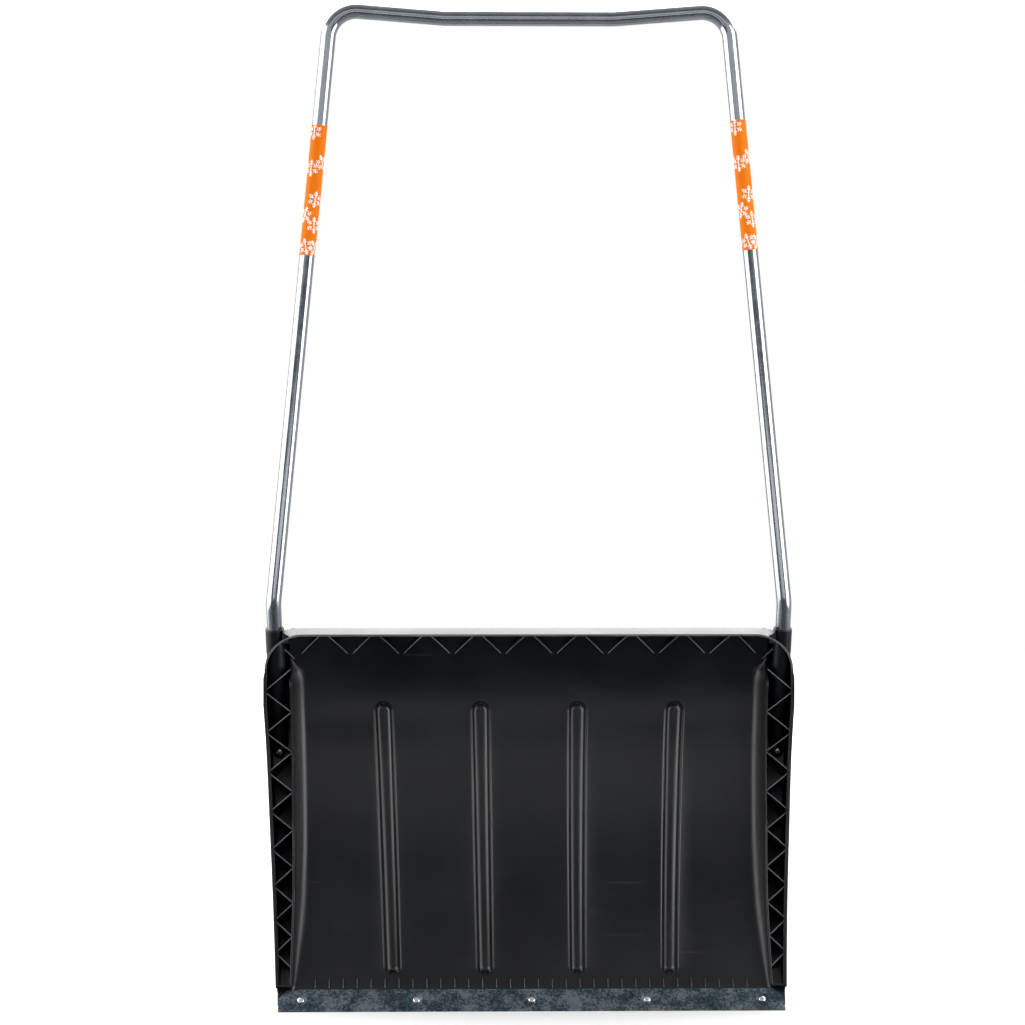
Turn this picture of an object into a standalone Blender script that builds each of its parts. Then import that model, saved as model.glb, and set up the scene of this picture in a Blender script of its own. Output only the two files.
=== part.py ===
"""Wheeled snow scoop: a moulded scoop with a steel wear strip, a bent tube handle and two carrying wheels.

Metres, +Z up. The scoop stands upright on the lower edge of its wear strip, its hollow faces -Y and X = 0 is
its middle plane. The origin is on the ground under the middle of the whole object.

The scoop is drawn flat first, as a straight tray: x across, z minus the distance down its face, y minus the
distance in front of its face. The tray is then bent to the side profile, which is a chain of arcs.
"""
import math

import bmesh
import bpy
from mathutils import Matrix, Vector

SIDES = (("left", -1.0), ("right", 1.0))
GAP = 0.0003  # between pieces that touch
LAP = 0.0003  # step between joined shapes of one moulding, so that no two of their faces coincide

# Side profile of the face, from its top edge down: (radius, turn in degrees); slopes are from the vertical.
TOP_SLOPE = math.radians(-19.0)
ARCS = ((0.302, 38.0), (0.757, 24.7), (0.090, 6.3))
APRON_LENGTH = 0.0400  # straight stretch under the last arc, which carries the wear strip
FACE_LENGTH = sum(radius * math.radians(turn) for radius, turn in ARCS) + APRON_LENGTH
DEPTH_CENTRE = 0.0689  # how far the middle of the whole object is in front of the face's rearmost line

# Tray
WALL = 0.0030
RIM_WALL = 0.0032
HALF_WIDTH = 0.376
CORNER_RADIUS = 0.054
SIDE_STRAIGHT = 0.110  # the sides run parallel this far down, then draw in
SIDE_TAPER = 0.0695
LIP = 0.0018
LIP_START = 0.062
LIP_DEPTH = 0.004
RIM_TOP = 0.023  # how far the top wall stands out
RIM_SIDE = 0.037
RIM_END = 0.008
RIM_TAPER_START = 0.300
TRAY_LENGTH = 0.5390  # the rims end here, above the wear strip
PLATE_END = 0.5640
INNER_TOP = 0.3385  # half distance between the inner side walls
INNER_WAIST = 0.3253
INNER_END = 0.3245
WAIST = 0.400
INNER_START = 0.042  # the inner walls rise out of the face over this stretch
INNER_FULL = 0.078
FILLET = 0.016
CHANNEL_DROP = 0.012  # the channel floors lie this far behind the face
CHANNEL_RISE = 0.300  # and come forward again from here down
CHANNEL_END_DROP = 0.002

# Ribs
RIB = 0.0020
RIB_RECESS = 0.0030
TRUSS_START = 0.0546
TRUSS_STEP = 0.0341
TRUSS_SHORTENING = 0.00036  # the steps get shorter down the channel
TRUSS_STEPS = 16
GUSSET_PAIRS = 9
GUSSET_PITCH = 0.0727
GUSSET_APEX = 0.0040
GUSSET_RUN = 0.0286
GUSSET_DROP = 0.0370
CORNER_RIB_START = (0.3550, 0.0165)  # (across, down) of the rib in each top corner
CORNER_RIB_END = (0.3335, 0.0450)
RIB_FOOT = 0.0010  # height of a wedge rib where it dies into the face

# Beads along the face
BEAD_TOP = 0.107
BEAD_END = 0.513
BEAD_SPACING_TOP = 0.1388
BEAD_SPACING_END = 0.1255
BEAD_WIDTH_TOP = 0.026
BEAD_WIDTH_END = 0.021
BEAD_HEIGHT = 0.0045
BEAD_ROOT = 0.0010  # the beads reach this far into the face

# Handle tube and its sockets
TUBE_RADIUS = 0.011
TUBE_WALL = 0.0012
TUBE_SIDES = 12
SOCKET_RADIUS = 0.01325
SOCKET_SIDES = 16
SOCKET_HALF = 0.3607
SOCKET_TOP = 0.5095
SOCKET_BOTTOM = 0.2980
SOCKET_LEAN = math.radians(11.0)  # forwards going up
SOCKET_SPLAY = math.radians(1.7)  # outwards going up
SOCKET_MOUTH_FORWARD = 0.0240
SOCKET_FLOOR = 0.0030
WEB_REACH = 0.0123
WEB_TOP = 0.4000
KINK_HEIGHT = 0.5420
ARM_SPLAY = math.radians(5.5)
BAR_HEIGHT = 1.3700
BAR_FLAT_HALF = 0.120
BAR_SLOPE = math.radians(4.5)
BEND_RADIUS = 0.040
HANDLE_RIVET_HEIGHT = 0.3320
NOTCH_HEIGHT = 0.3085
NOTCH_SIZE = 0.0090
FOOT_GAP = 0.0015  # between the tube's end and the socket's floor
SOFT_BEND_RADIUS = 0.080  # of the slight bends at the kink and at the ends of the bar's level part

# Snowflake bands round the arms
BAND_LENGTH = 0.185
BAND_CENTRES = {"left": 1.1255, "right": 1.1345}
BAND_THICKNESS = 0.0003
BAND_SIDES = 32

# Wear strip
STRIP_THICKNESS = 0.0015
STRIP_HALF = 0.3413
STRIP_TOP = 0.5392
STRIP_CHAMFER_ACROSS = 0.012
STRIP_CHAMFER_DOWN = 0.0155
STRIP_RIVET_PITCH = 0.1557
STRIP_RIVET_DOWN = 0.5572

# Rivets
SHANK_RADIUS = 0.0024
HEAD_RADIUS = 0.0048
HEAD_HEIGHT = 0.0018
HEAD_EDGE = 0.0007  # height of a head's edge
TAIL_RADIUS = 0.0038
TAIL_HEIGHT = 0.0014
SWELL_RADIUS = 0.0036  # of a blind rivet's tail inside the tube
SWELL_LENGTH = 0.0035
TIP_RADIUS = 0.0008  # flat left in the middle of a turned end
SMALL_SIDES = 8
HOLE_SIDES = 12
HOLE_RADIUS = SHANK_RADIUS + GAP

# Wheels: with the strip flat on the ground the wheels touch it this far behind the strip's edge.
GROUND_SLOPE = math.radians(40.0)
WHEEL_REACH = 0.380
WHEEL_RADIUS = 0.050
WHEEL_SIDES = 24
WHEEL_WIDTH = 0.028
WHEEL_CENTRE = 0.300
TYRE_DEPTH = 0.009
TYRE_SHOULDER = 0.0042
TYRE_CROWN = 0.0008
RIM_RING = 0.0040
WEB_HALF = 0.0040
HUB_RADIUS = 0.014
HUB_WIDTH = 0.034
BUSH_RADIUS = 0.0080
AXLE_RADIUS = 0.005
AXLE_HALF = 0.3275
AXLE_SIDES = 16
AXLE_CHAMFER = 0.0008
WASHER_RADIUS = 0.0105
WASHER_THICKNESS = 0.0015
CAP_RADIUS = 0.0085
CAP_LENGTH = 0.0070

# Axle brackets
BRACKET_STEEL = 0.0030
BRACKET_EAR = 0.272  # outer side of the ear
BRACKET_WIDTH = 0.046
BRACKET_LENGTH = 0.064
EAR_TIP_RADIUS = 0.0125
PAD_DEPTH = 0.0100
SCREW_SPACING = 0.040
SCREW_RADIUS = 0.0025
SCREW_LENGTH = 0.0100
SCREW_HEAD_HEIGHT = 0.0030
PAD_MARGIN = 0.0030
EAR_INSET = 0.0010

# Reach of the cutting shapes past what they cut
OVER = 0.080
BEHIND = 0.060
PAST = 0.002


# ---------------------------------------------------------------- profile

def profile_point(down):
    """(forward, height, slope) of the face's front surface at a distance down from its top edge."""
    forward, height, slope, left = 0.0, 0.0, TOP_SLOPE, down
    for radius, turn in ARCS:
        step = min(max(left, 0.0), radius * math.radians(turn))
        if left < 0.0:
            break
        bend = slope + step / radius
        forward += radius * (math.cos(slope) - math.cos(bend))
        height -= radius * (math.sin(bend) - math.sin(slope))
        slope = bend
        left -= step
    forward += left * math.sin(slope)
    height -= left * math.cos(slope)
    return forward, height, slope


REAR_LINE = profile_point(ARCS[0][0] * -TOP_SLOPE)[0]
END_HEIGHT, END_SLOPE = profile_point(FACE_LENGTH)[1:]
BASE_HEIGHT = END_HEIGHT + GAP * math.sin(END_SLOPE)  # the wear strip's lower edge


def place(across, down, out):
    """World position of a tray point."""
    forward, height, slope = profile_point(down)
    forward += out * math.cos(slope) - REAR_LINE
    height += out * math.sin(slope) - BASE_HEIGHT
    return Vector((across, DEPTH_CENTRE - forward, height))


def world(across, forward, height):
    """World position from a distance in front of the face's rearmost line and a height."""
    return Vector((across, DEPTH_CENTRE - forward, height))


def face_frame(across, down, out):
    """Matrix at a tray point: local X across, local Y up the face, local Z straight out of its front."""
    slope = profile_point(down)[2]
    x_axis = Vector((1.0, 0.0, 0.0))
    z_axis = Vector((0.0, -math.cos(slope), math.sin(slope)))
    y_axis = z_axis.cross(x_axis)
    matrix = Matrix((x_axis, y_axis, z_axis)).transposed().to_4x4()
    matrix.translation = place(across, down, out)
    return matrix


# ---------------------------------------------------------------- tray outlines

def corner_inset(down, radius, start):
    """How much a rounded top corner takes off the half width at a distance down."""
    rise = radius - (down - start)
    if rise <= 0.0:
        return 0.0
    return radius - math.sqrt(max(radius * radius - rise * rise, 0.0))


def side_line(down):
    """Half width over the lips, without the corner."""
    return HALF_WIDTH - SIDE_TAPER * max(down - SIDE_STRAIGHT, 0.0)


def outer_half(down):
    return side_line(down) - LIP - corner_inset(down, CORNER_RADIUS, 0.0)


def channel_outer(down):
    return side_line(down) - LIP - RIM_WALL - corner_inset(down, CORNER_RADIUS - RIM_WALL, RIM_WALL)


def inner_half(down):
    """Half distance between the inner walls, on their bowl side."""
    if down < WAIST:
        return INNER_TOP + (INNER_WAIST - INNER_TOP) * down / WAIST
    return INNER_WAIST + (INNER_END - INNER_WAIST) * (down - WAIST) / (TRAY_LENGTH - WAIST)


def rim_height(down):
    if down < INNER_FULL:
        return RIM_TOP + (RIM_SIDE - RIM_TOP) * down / INNER_FULL
    if down < RIM_TAPER_START:
        return RIM_SIDE
    return RIM_SIDE + (RIM_END - RIM_SIDE) * (down - RIM_TAPER_START) / (TRAY_LENGTH - RIM_TAPER_START)


def inner_height(down):
    """The inner walls rise out of the face below the top corners."""
    part = min(max((down - INNER_START) / (INNER_FULL - INNER_START), 0.0), 1.0)
    return (rim_height(down) - 0.001) * part * part * (3.0 - 2.0 * part)


def channel_drop(down):
    if down < CHANNEL_RISE:
        return CHANNEL_DROP
    part = (down - CHANNEL_RISE) / (TRAY_LENGTH - CHANNEL_RISE)
    return CHANNEL_DROP + (CHANNEL_END_DROP - CHANNEL_DROP) * part


def spread(start, end, count):
    return [start + (end - start) * index / count for index in range(count + 1)]


def corner_steps(radius, start, count):
    """Distances down at even turns round a top corner."""
    return [start + radius * (1.0 - math.cos(turn)) for turn in spread(0.0, math.pi * 0.5, count)]


# ---------------------------------------------------------------- meshes

def material(name, colour, roughness, metallic):
    made = bpy.data.materials.new(name)
    made.use_nodes = True
    shader = made.node_tree.nodes["Principled BSDF"]
    shader.inputs["Base Color"].default_value = (*colour, 1.0)
    shader.inputs["Roughness"].default_value = roughness
    shader.inputs["Metallic"].default_value = metallic
    return made


def mesh_object(name, bm, finish, smooth=False):
    """An object from a bmesh, with its faces pointing out."""
    bmesh.ops.recalc_face_normals(bm, faces=bm.faces)
    mesh = bpy.data.meshes.new(name)
    bm.to_mesh(mesh)
    bm.free()
    if smooth:
        mesh.shade_smooth()
        mesh.set_sharp_from_angle(angle=math.radians(35.0))
    made = bpy.data.objects.new(name, mesh)
    bpy.context.collection.objects.link(made)
    if finish is not None:
        mesh.materials.append(finish)
    return made


def add_loft(bm, rings, closed=False):
    """Skin rings of equal length; open lofts get a cap at each end."""
    loops = [[bm.verts.new(point) for point in ring] for ring in rings]
    pairs = list(zip(loops, loops[1:]))
    if closed:
        pairs.append((loops[-1], loops[0]))
    for low, high in pairs:
        for index in range(len(low)):
            after = (index + 1) % len(low)
            bm.faces.new((low[index], low[after], high[after], high[index]))
    if not closed:
        bm.faces.new(list(reversed(loops[0])))
        bm.faces.new(loops[-1])


def loft(name, rings, finish=None, closed=False, smooth=False):
    bm = bmesh.new()
    add_loft(bm, rings, closed)
    return mesh_object(name, bm, finish, smooth)


def flat(across, down, out):
    """A tray point in the flat drawing."""
    return (across, -out, -down)


def boolean(target, tool, operation):
    """Cut or join with a tool object that isn't a piece itself."""
    tool.hide_render = True
    tool.display_type = "WIRE"
    step = target.modifiers.new(tool.name, "BOOLEAN")
    step.operation = operation
    step.solver = "EXACT"
    step.object = tool


def evaluated_mesh(source):
    bpy.context.view_layer.update()
    graph = bpy.context.evaluated_depsgraph_get()
    return bpy.data.meshes.new_from_object(source.evaluated_get(graph))


def circle(radius, sides):
    turns = spread(0.0, 2.0 * math.pi, sides)[:-1]
    return [(radius * math.cos(turn), radius * math.sin(turn)) for turn in turns]


def turned(name, matrix, outline, sides, finish, hollow=True):
    """A turned piece. The outline is (radius, height) points; it turns round the matrix's local Z."""
    bm = bmesh.new()
    loops = []
    for radius, height in outline:
        loops.append([matrix @ Vector((x, y, height)) for x, y in circle(radius, sides)])
    add_loft(bm, loops, closed=hollow)
    return mesh_object(name, bm, finish, smooth=True)


def x_frame(across, forward, height, side=1.0):
    """Matrix whose local Z points along X, outwards on the named side."""
    matrix = Matrix.Rotation(math.radians(90.0) * side, 4, "Y")
    matrix.translation = world(across, forward, height)
    return matrix


# ---------------------------------------------------------------- the scoop

def tray_block():
    steps = corner_steps(CORNER_RADIUS, 0.0, 5)[:-1]
    steps += [CORNER_RADIUS, INNER_FULL, SIDE_STRAIGHT]
    steps += spread(SIDE_STRAIGHT, RIM_TAPER_START, 3)[1:]
    steps += spread(RIM_TAPER_START, TRAY_LENGTH, 5)[1:]
    rings = []
    for down in steps:
        half = outer_half(down)
        low = -(channel_drop(down) + WALL)
        high = rim_height(down)
        corners = ((-half, low), (half, low), (half, high), (-half, high))
        rings.append([flat(x, down, out) for x, out in corners])
    return loft("tray", rings)


def bowl_cutter():
    """Everything in front of the face between the inner walls, and in front of those walls' edges."""
    steps = corner_steps(INNER_START - RIM_WALL, RIM_WALL, 4)[:-1]
    steps += spread(INNER_START, INNER_FULL, 6)
    steps += spread(INNER_FULL, RIM_TAPER_START, 2)[1:]
    steps += [WAIST, (WAIST + TRAY_LENGTH) * 0.5, TRAY_LENGTH + PAST]
    rings = []
    for down in steps:
        half = inner_half(down)
        wall_top = max(inner_height(min(down, TRAY_LENGTH)), LAP)
        round_off = min(FILLET, wall_top)
        edge = min(half + WALL + EAR_INSET, channel_outer(down))
        half = min(half, edge - LAP * 2.0)
        side = [(half - round_off, 0.0)]
        for turn in (30.0, 60.0):
            angle = math.radians(turn)
            side.append((half - round_off + round_off * math.sin(angle), round_off * (1.0 - math.cos(angle))))
        side += [(half, wall_top + LAP), (edge, wall_top + LAP * 2.0), (edge, OVER)]
        ring = [flat(x, down, out) for x, out in side]
        ring += [flat(-x, down, out) for x, out in reversed(side)]
        rings.append(ring)
    return loft("bowl_space", rings)


def channel_cutter(side):
    steps = corner_steps(CORNER_RADIUS - RIM_WALL, RIM_WALL, 7)[3:]
    steps += [INNER_FULL, SIDE_STRAIGHT]
    steps += spread(SIDE_STRAIGHT, RIM_TAPER_START, 2)[1:]
    steps += spread(RIM_TAPER_START, TRAY_LENGTH - RIM_WALL, 3)[1:]
    rings = []
    for down in steps:
        near = inner_half(down) + WALL
        far = channel_outer(down)
        low = -channel_drop(down)
        ring = ((near, low), (far, low), (far, OVER), (near, OVER))
        rings.append([flat(side * x, down, out) for x, out in ring])
    return loft("channel_space", rings)


def back_cutter():
    """Everything behind the face between the channel boxes."""
    rings = []
    for down in (-PAST, SIDE_STRAIGHT, WAIST, TRAY_LENGTH + PAST):
        half = inner_half(down)
        ring = ((-half, -BEHIND), (half, -BEHIND), (half, -WALL), (-half, -WALL))
        rings.append([flat(x, down, out) for x, out in ring])
    return loft("back_space", rings)


def apron():
    """The plate under the wear strip."""
    rings = []
    for down in (TRAY_LENGTH - RIM_WALL - LAP, PLATE_END):
        half = outer_half(down) - LAP
        ring = ((-half, -WALL + LAP), (half, -WALL + LAP), (half, -LAP), (-half, -LAP))
        rings.append([flat(x, down, out) for x, out in ring])
    return loft("apron", rings)


def lip(side):
    steps = spread(LIP_START, SIDE_STRAIGHT, 2)
    steps += spread(SIDE_STRAIGHT, RIM_TAPER_START, 2)[1:]
    steps += spread(RIM_TAPER_START, TRAY_LENGTH, 3)[1:]
    rings = []
    for down in steps:
        half = side_line(down)
        root = half - LIP - RIM_WALL * 0.4
        high = rim_height(down) - LAP
        ring = ((root, high - LIP_DEPTH), (half, high - LIP_DEPTH), (half, high), (root, high))
        rings.append([flat(side * x, down, out) for x, out in ring])
    return loft("lip", rings)


def truss(side):
    """One zig-zag rib along a channel, thick RIB, with its corners inside the two walls."""
    line = []
    for index in range(TRUSS_STEPS + 1):
        down = TRUSS_START + TRUSS_STEP * index - TRUSS_SHORTENING * index * index
        inside = inner_half(down) + WALL * 0.5
        outside = side_line(down) - LIP - RIM_WALL * 0.5
        line.append((outside if index % 2 else inside, down))
    rings = []
    for index, (x, down) in enumerate(line):
        before = Vector(line[max(index - 1, 0)])
        after = Vector(line[min(index + 1, len(line) - 1)])
        here = Vector((x, down))
        turns = [step.normalized() for step in (here - before, after - here) if step.length > 0.0]
        normals = [Vector((-turn.y, turn.x)) for turn in turns]
        mitre = sum(normals, Vector((0.0, 0.0)))
        mitre.normalize()
        reach = mitre * (RIB * 0.5 / mitre.dot(normals[0]))
        low = -channel_drop(down) - WALL * 0.5
        high = rim_height(down) - RIB_RECESS
        left, right = here - reach, here + reach
        corners = ((left, low), (right, low), (right, high), (left, high))
        rings.append([flat(side * point.x, point.y, out) for point, out in corners])
    return loft("truss", rings)


def add_wedge(bm, start, end, root):
    """A thin upright wedge from the rim, where its root lies this deep, down to the face."""
    first, last = Vector(start), Vector(end)
    along = (last - first).normalized()
    offset = Vector((-along.y, along.x)) * RIB * 0.5
    rings = []
    for move in (-offset, offset):
        corners = ((first, root), (first, RIM_TOP - RIB_RECESS), (last, RIB_FOOT), (last, -WALL * 0.5))
        rings.append([flat(point.x + move.x, point.y + move.y, out) for point, out in corners])
    add_loft(bm, rings)


def gussets():
    """The wedges in pairs under the top wall, and one in each top corner."""
    bm = bmesh.new()
    for direction in (-1.0, 1.0):
        for pair in range(GUSSET_PAIRS):
            apex = (pair - (GUSSET_PAIRS - 1) / 2.0) * GUSSET_PITCH + direction * GUSSET_APEX
            foot = (apex + direction * GUSSET_RUN, GUSSET_DROP)
            add_wedge(bm, (apex, RIM_WALL * 0.5), foot, -WALL * 0.5)
        corner, foot = [(direction * across, down) for across, down in (CORNER_RIB_START, CORNER_RIB_END)]
        add_wedge(bm, corner, foot, -CHANNEL_DROP - WALL * 0.5)
    return mesh_object("gussets", bm, None)


def beads():
    bm = bmesh.new()
    ends = [math.radians(turn) for turn in (8.0, 45.0, 90.0)]
    for index in range(4):
        rank = index - 1.5
        rings = []
        stations = [(BEAD_TOP, -1.0, turn) for turn in ends]
        stations += [(BEAD_END, 1.0, turn) for turn in reversed(ends)]
        for centre_down, way, turn in stations:
            part = (centre_down - BEAD_TOP) / (BEAD_END - BEAD_TOP)
            centre = rank * (BEAD_SPACING_TOP + (BEAD_SPACING_END - BEAD_SPACING_TOP) * part)
            half = 0.5 * (BEAD_WIDTH_TOP + (BEAD_WIDTH_END - BEAD_WIDTH_TOP) * part)
            down = centre_down + way * half * (math.cos(turn) - 1.0)
            width = half * math.sin(turn)
            height = BEAD_HEIGHT * math.sin(turn)
            ring = [flat(centre - width, down, -BEAD_ROOT), flat(centre + width, down, -BEAD_ROOT)]
            for step in (30.0, 90.0, 150.0):
                angle = math.radians(step)
                ring.append(flat(centre + width * math.cos(angle), down, height * math.sin(angle)))
            rings.append(ring)
        add_loft(bm, rings)
    return mesh_object("beads", bm, None)


def bend(mesh, name, finish):
    """Cut the flat tray across at even steps and lay it on the side profile."""
    bm = bmesh.new()
    bm.from_mesh(mesh)
    first = spread(0.0, ARCS[0][0] * math.radians(ARCS[0][1]), 6)[1:]
    second = spread(first[-1], FACE_LENGTH - APRON_LENGTH, 8)[1:]
    for down in first + second:
        parts = list(bm.verts) + list(bm.edges) + list(bm.faces)
        level = (0.0, 0.0, -down)
        bmesh.ops.bisect_plane(bm, geom=parts, dist=1e-5, plane_co=level, plane_no=(0.0, 0.0, 1.0))
    bmesh.ops.triangulate(bm, faces=bm.faces)
    for vertex in bm.verts:
        across, back, up = vertex.co
        vertex.co = place(across, -up, -back)
    return mesh_object(name, bm, finish)


def tube_point(side, height):
    """A point on the tube's middle line in and just above a socket."""
    rise = height - SOCKET_TOP
    across = SOCKET_HALF + rise * math.tan(SOCKET_SPLAY)
    return world(side * across, SOCKET_MOUTH_FORWARD + rise * math.tan(SOCKET_LEAN), height)


def socket_axis(side):
    """Matrix with local Z up a socket's axis, local -Y to the front and its origin in the mouth's middle."""
    z_axis = (tube_point(side, SOCKET_TOP + 1.0) - tube_point(side, SOCKET_TOP)).normalized()
    y_axis = z_axis.cross(Vector((1.0, 0.0, 0.0))).normalized()
    matrix = Matrix((y_axis.cross(z_axis), y_axis, z_axis)).transposed().to_4x4()
    matrix.translation = tube_point(side, SOCKET_TOP)
    return matrix


def along_socket(height):
    """Distance along a socket's axis from its mouth to a height."""
    slope = math.hypot(math.tan(SOCKET_LEAN), math.tan(SOCKET_SPLAY))
    return (height - SOCKET_TOP) * math.hypot(1.0, slope)


def front_tool(name, axis, height, outline, start):
    """A cutter that runs forwards from a socket's axis, with an outline of (across, up) points."""
    rings = []
    for reach in (start, start + SOCKET_RADIUS + PAST):
        rings.append([axis @ Vector((x, -reach, height + y)) for x, y in outline])
    return loft(name, rings)


def handle_rivet_tool(axis):
    height = along_socket(HANDLE_RIVET_HEIGHT)
    return front_tool("handle_rivet_hole", axis, height, circle(HOLE_RADIUS, HOLE_SIDES), 0.0)


def socket_cutters(side):
    """The bore for the tube, the hole for its rivet and the window at its foot."""
    axis = socket_axis(side)
    bore = []
    for height in (along_socket(SOCKET_BOTTOM + SOCKET_FLOOR), PAST):
        bore.append([axis @ Vector((x, y, height)) for x, y in circle(bore_radius(), TUBE_SIDES)])
    half = NOTCH_SIZE * 0.5
    arch = [(-half, -half), (half, -half)]
    for turn in spread(0.0, math.pi, 6):
        arch.append((half * math.cos(turn), half * math.sin(turn)))
    window = front_tool("socket_window", axis, along_socket(NOTCH_HEIGHT), arch, SOCKET_FLOOR)
    return loft("socket_bore", bore), handle_rivet_tool(axis), window


def socket_web(side):
    """Fills the corner between a socket's foot, the channel floor and the outer wall."""
    low, high = sorted((side * PAST, side * WEB_REACH))
    bottom = (low, PAST, along_socket(SOCKET_BOTTOM) + PAST)
    top = (high, WEB_REACH, along_socket(WEB_TOP))
    return loft("socket_web", box_rings(socket_axis(side), bottom, top))


def bore_radius():
    """Wide enough at the flats for the round tube."""
    return (TUBE_RADIUS + GAP) / math.cos(math.pi / TUBE_SIDES)


def axle_point():
    """(forward, height) of the wheels' axle."""
    forward = profile_point(FACE_LENGTH)[0] - REAR_LINE
    along, rise = math.cos(GROUND_SLOPE), math.sin(GROUND_SLOPE)
    return forward - WHEEL_REACH * along + WHEEL_RADIUS * rise, WHEEL_REACH * rise + WHEEL_RADIUS * along


def bracket_frame():
    """Local X across, local Z from the axle straight to the face, and the distance to the face's back."""
    axle = world(0.0, *axle_point())
    nearest = min(spread(0.0, FACE_LENGTH, 1200), key=lambda down: (place(0.0, down, 0.0) - axle).length)
    slope = profile_point(nearest)[2]
    z_axis = Vector((0.0, -math.cos(slope), math.sin(slope)))
    x_axis = Vector((1.0, 0.0, 0.0))
    matrix = Matrix((x_axis, z_axis.cross(x_axis), z_axis)).transposed().to_4x4()
    matrix.translation = axle
    return matrix, (place(0.0, nearest, -WALL) - axle).length


def box_rings(matrix, low, high):
    """Two rings of a box between two corners in a local frame."""
    rings = []
    for z in (low[2], high[2]):
        corners = ((low[0], low[1]), (high[0], low[1]), (high[0], high[1]), (low[0], high[1]))
        rings.append([matrix @ Vector((x, y, z)) for x, y in corners])
    return rings


def bracket_span(side):
    """The lower and higher X of a bracket's base."""
    return sorted((side * BRACKET_EAR, side * (BRACKET_EAR - BRACKET_WIDTH)))


def bracket_pad(side):
    """A flat boss behind the face for one axle bracket."""
    matrix, reach = bracket_frame()
    low, high = bracket_span(side)
    half = BRACKET_LENGTH * 0.5 + PAD_MARGIN
    bottom = (low - PAD_MARGIN, -half, reach - PAD_DEPTH)
    return loft("bracket_pad", box_rings(matrix, bottom, (high + PAD_MARGIN, half, reach + WALL * 0.5)))


def screw_frames(side):
    """Frames of the upper and lower screw, with their origins on the pad's face."""
    matrix, reach = bracket_frame()
    middle = side * (BRACKET_EAR - (BRACKET_WIDTH + BRACKET_STEEL) * 0.5)
    spots = [(middle, SCREW_SPACING * 0.5 * up, reach - PAD_DEPTH) for up in (1.0, -1.0)]
    return [matrix @ Matrix.Translation(spot) for spot in spots]


def hole_tool(name, matrix, low, high, radius):
    rings = [[matrix @ Vector((x, y, z)) for x, y in circle(radius, HOLE_SIDES)] for z in (low, high)]
    return loft(name, rings)


def strip_rivet_frames():
    return [face_frame((index - 2) * STRIP_RIVET_PITCH, STRIP_RIVET_DOWN, 0.0) for index in range(5)]


def build_scoop(finish):
    tray = tray_block()
    helpers = [tray]
    for tool in (bowl_cutter(), channel_cutter(1.0), channel_cutter(-1.0), back_cutter()):
        boolean(tray, tool, "DIFFERENCE")
        helpers.append(tool)
    for tool in (truss(1.0), truss(-1.0), lip(1.0), lip(-1.0), gussets(), beads(), apron()):
        boolean(tray, tool, "UNION")
        helpers.append(tool)
    mesh = evaluated_mesh(tray)
    for helper in helpers:
        bpy.data.objects.remove(helper)
    scoop = bend(mesh, "scoop", finish)
    for side in (-1.0, 1.0):
        axis = socket_axis(side)
        rings = []
        for height in (along_socket(SOCKET_BOTTOM), 0.0):
            rings.append([axis @ Vector((x, y, height)) for x, y in circle(SOCKET_RADIUS, SOCKET_SIDES)])
        boolean(scoop, loft("socket", rings), "UNION")
        boolean(scoop, socket_web(side), "UNION")
        boolean(scoop, bracket_pad(side), "UNION")
    for side in (-1.0, 1.0):
        for tool in socket_cutters(side):
            boolean(scoop, tool, "DIFFERENCE")
        for frame in screw_frames(side):
            tool = hole_tool("screw_hole", frame, -PAST, SCREW_LENGTH, SCREW_RADIUS + GAP)
            boolean(scoop, tool, "DIFFERENCE")
    for frame in strip_rivet_frames():
        boolean(scoop, hole_tool("rivet_hole", frame, -WALL - PAST, PAST, HOLE_RADIUS), "DIFFERENCE")


# ---------------------------------------------------------------- wear strip

def build_strip(finish):
    low, high = GAP, GAP + STRIP_THICKNESS
    outline = [(-STRIP_HALF, FACE_LENGTH), (STRIP_HALF, FACE_LENGTH)]
    outline += [(STRIP_HALF, STRIP_TOP + STRIP_CHAMFER_DOWN), (STRIP_HALF - STRIP_CHAMFER_ACROSS, STRIP_TOP)]
    outline += [(-x, down) for x, down in reversed(outline[2:])]
    strip = loft("wear_strip", [[place(x, down, out) for x, down in outline] for out in (low, high)], finish)
    for frame in strip_rivet_frames():
        boolean(strip, hole_tool("strip_hole", frame, -PAST, high + PAST, HOLE_RADIUS), "DIFFERENCE")


def head_outline(seat):
    """A domed rivet head on its seat, from the shank to the middle."""
    outline = [(SHANK_RADIUS, seat), (HEAD_RADIUS, seat), (HEAD_RADIUS * 0.92, seat + HEAD_EDGE)]
    outline += [(HEAD_RADIUS * 0.55, seat + HEAD_HEIGHT * 0.9), (TIP_RADIUS, seat + HEAD_HEIGHT)]
    return outline


def build_strip_rivets(finish):
    back = -WALL - GAP
    outline = [(TIP_RADIUS, back - TAIL_HEIGHT), (TAIL_RADIUS, back - TAIL_HEIGHT), (TAIL_RADIUS, back)]
    outline += [(SHANK_RADIUS, back)]
    outline += head_outline(GAP + STRIP_THICKNESS + GAP)
    for number, frame in enumerate(strip_rivet_frames(), start=1):
        turned(f"strip_rivet_{number}", frame, outline, SMALL_SIDES, finish, hollow=False)


# ---------------------------------------------------------------- handle

KINK = tube_point(1.0, KINK_HEIGHT)
ARM_FORWARD = DEPTH_CENTRE - KINK.y


def arm_half(height):
    """Half distance between the arms above the kink."""
    return KINK.x - (height - KINK_HEIGHT) * math.tan(ARM_SPLAY)


def arc_points(before, corner, after, radius, count):
    """Points on the arc that rounds a corner of a path."""
    back = (before - corner).normalized()
    ahead = (after - corner).normalized()
    half_turn = (math.pi - back.angle(ahead)) * 0.5
    centre = corner + (back + ahead).normalized() * (radius / math.cos(half_turn))
    start = corner + back * radius * math.tan(half_turn)
    end = corner + ahead * radius * math.tan(half_turn)
    first, last = (start - centre).normalized(), (end - centre).normalized()
    return [centre + first.slerp(last, step / count) * radius for step in range(count + 1)]


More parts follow.
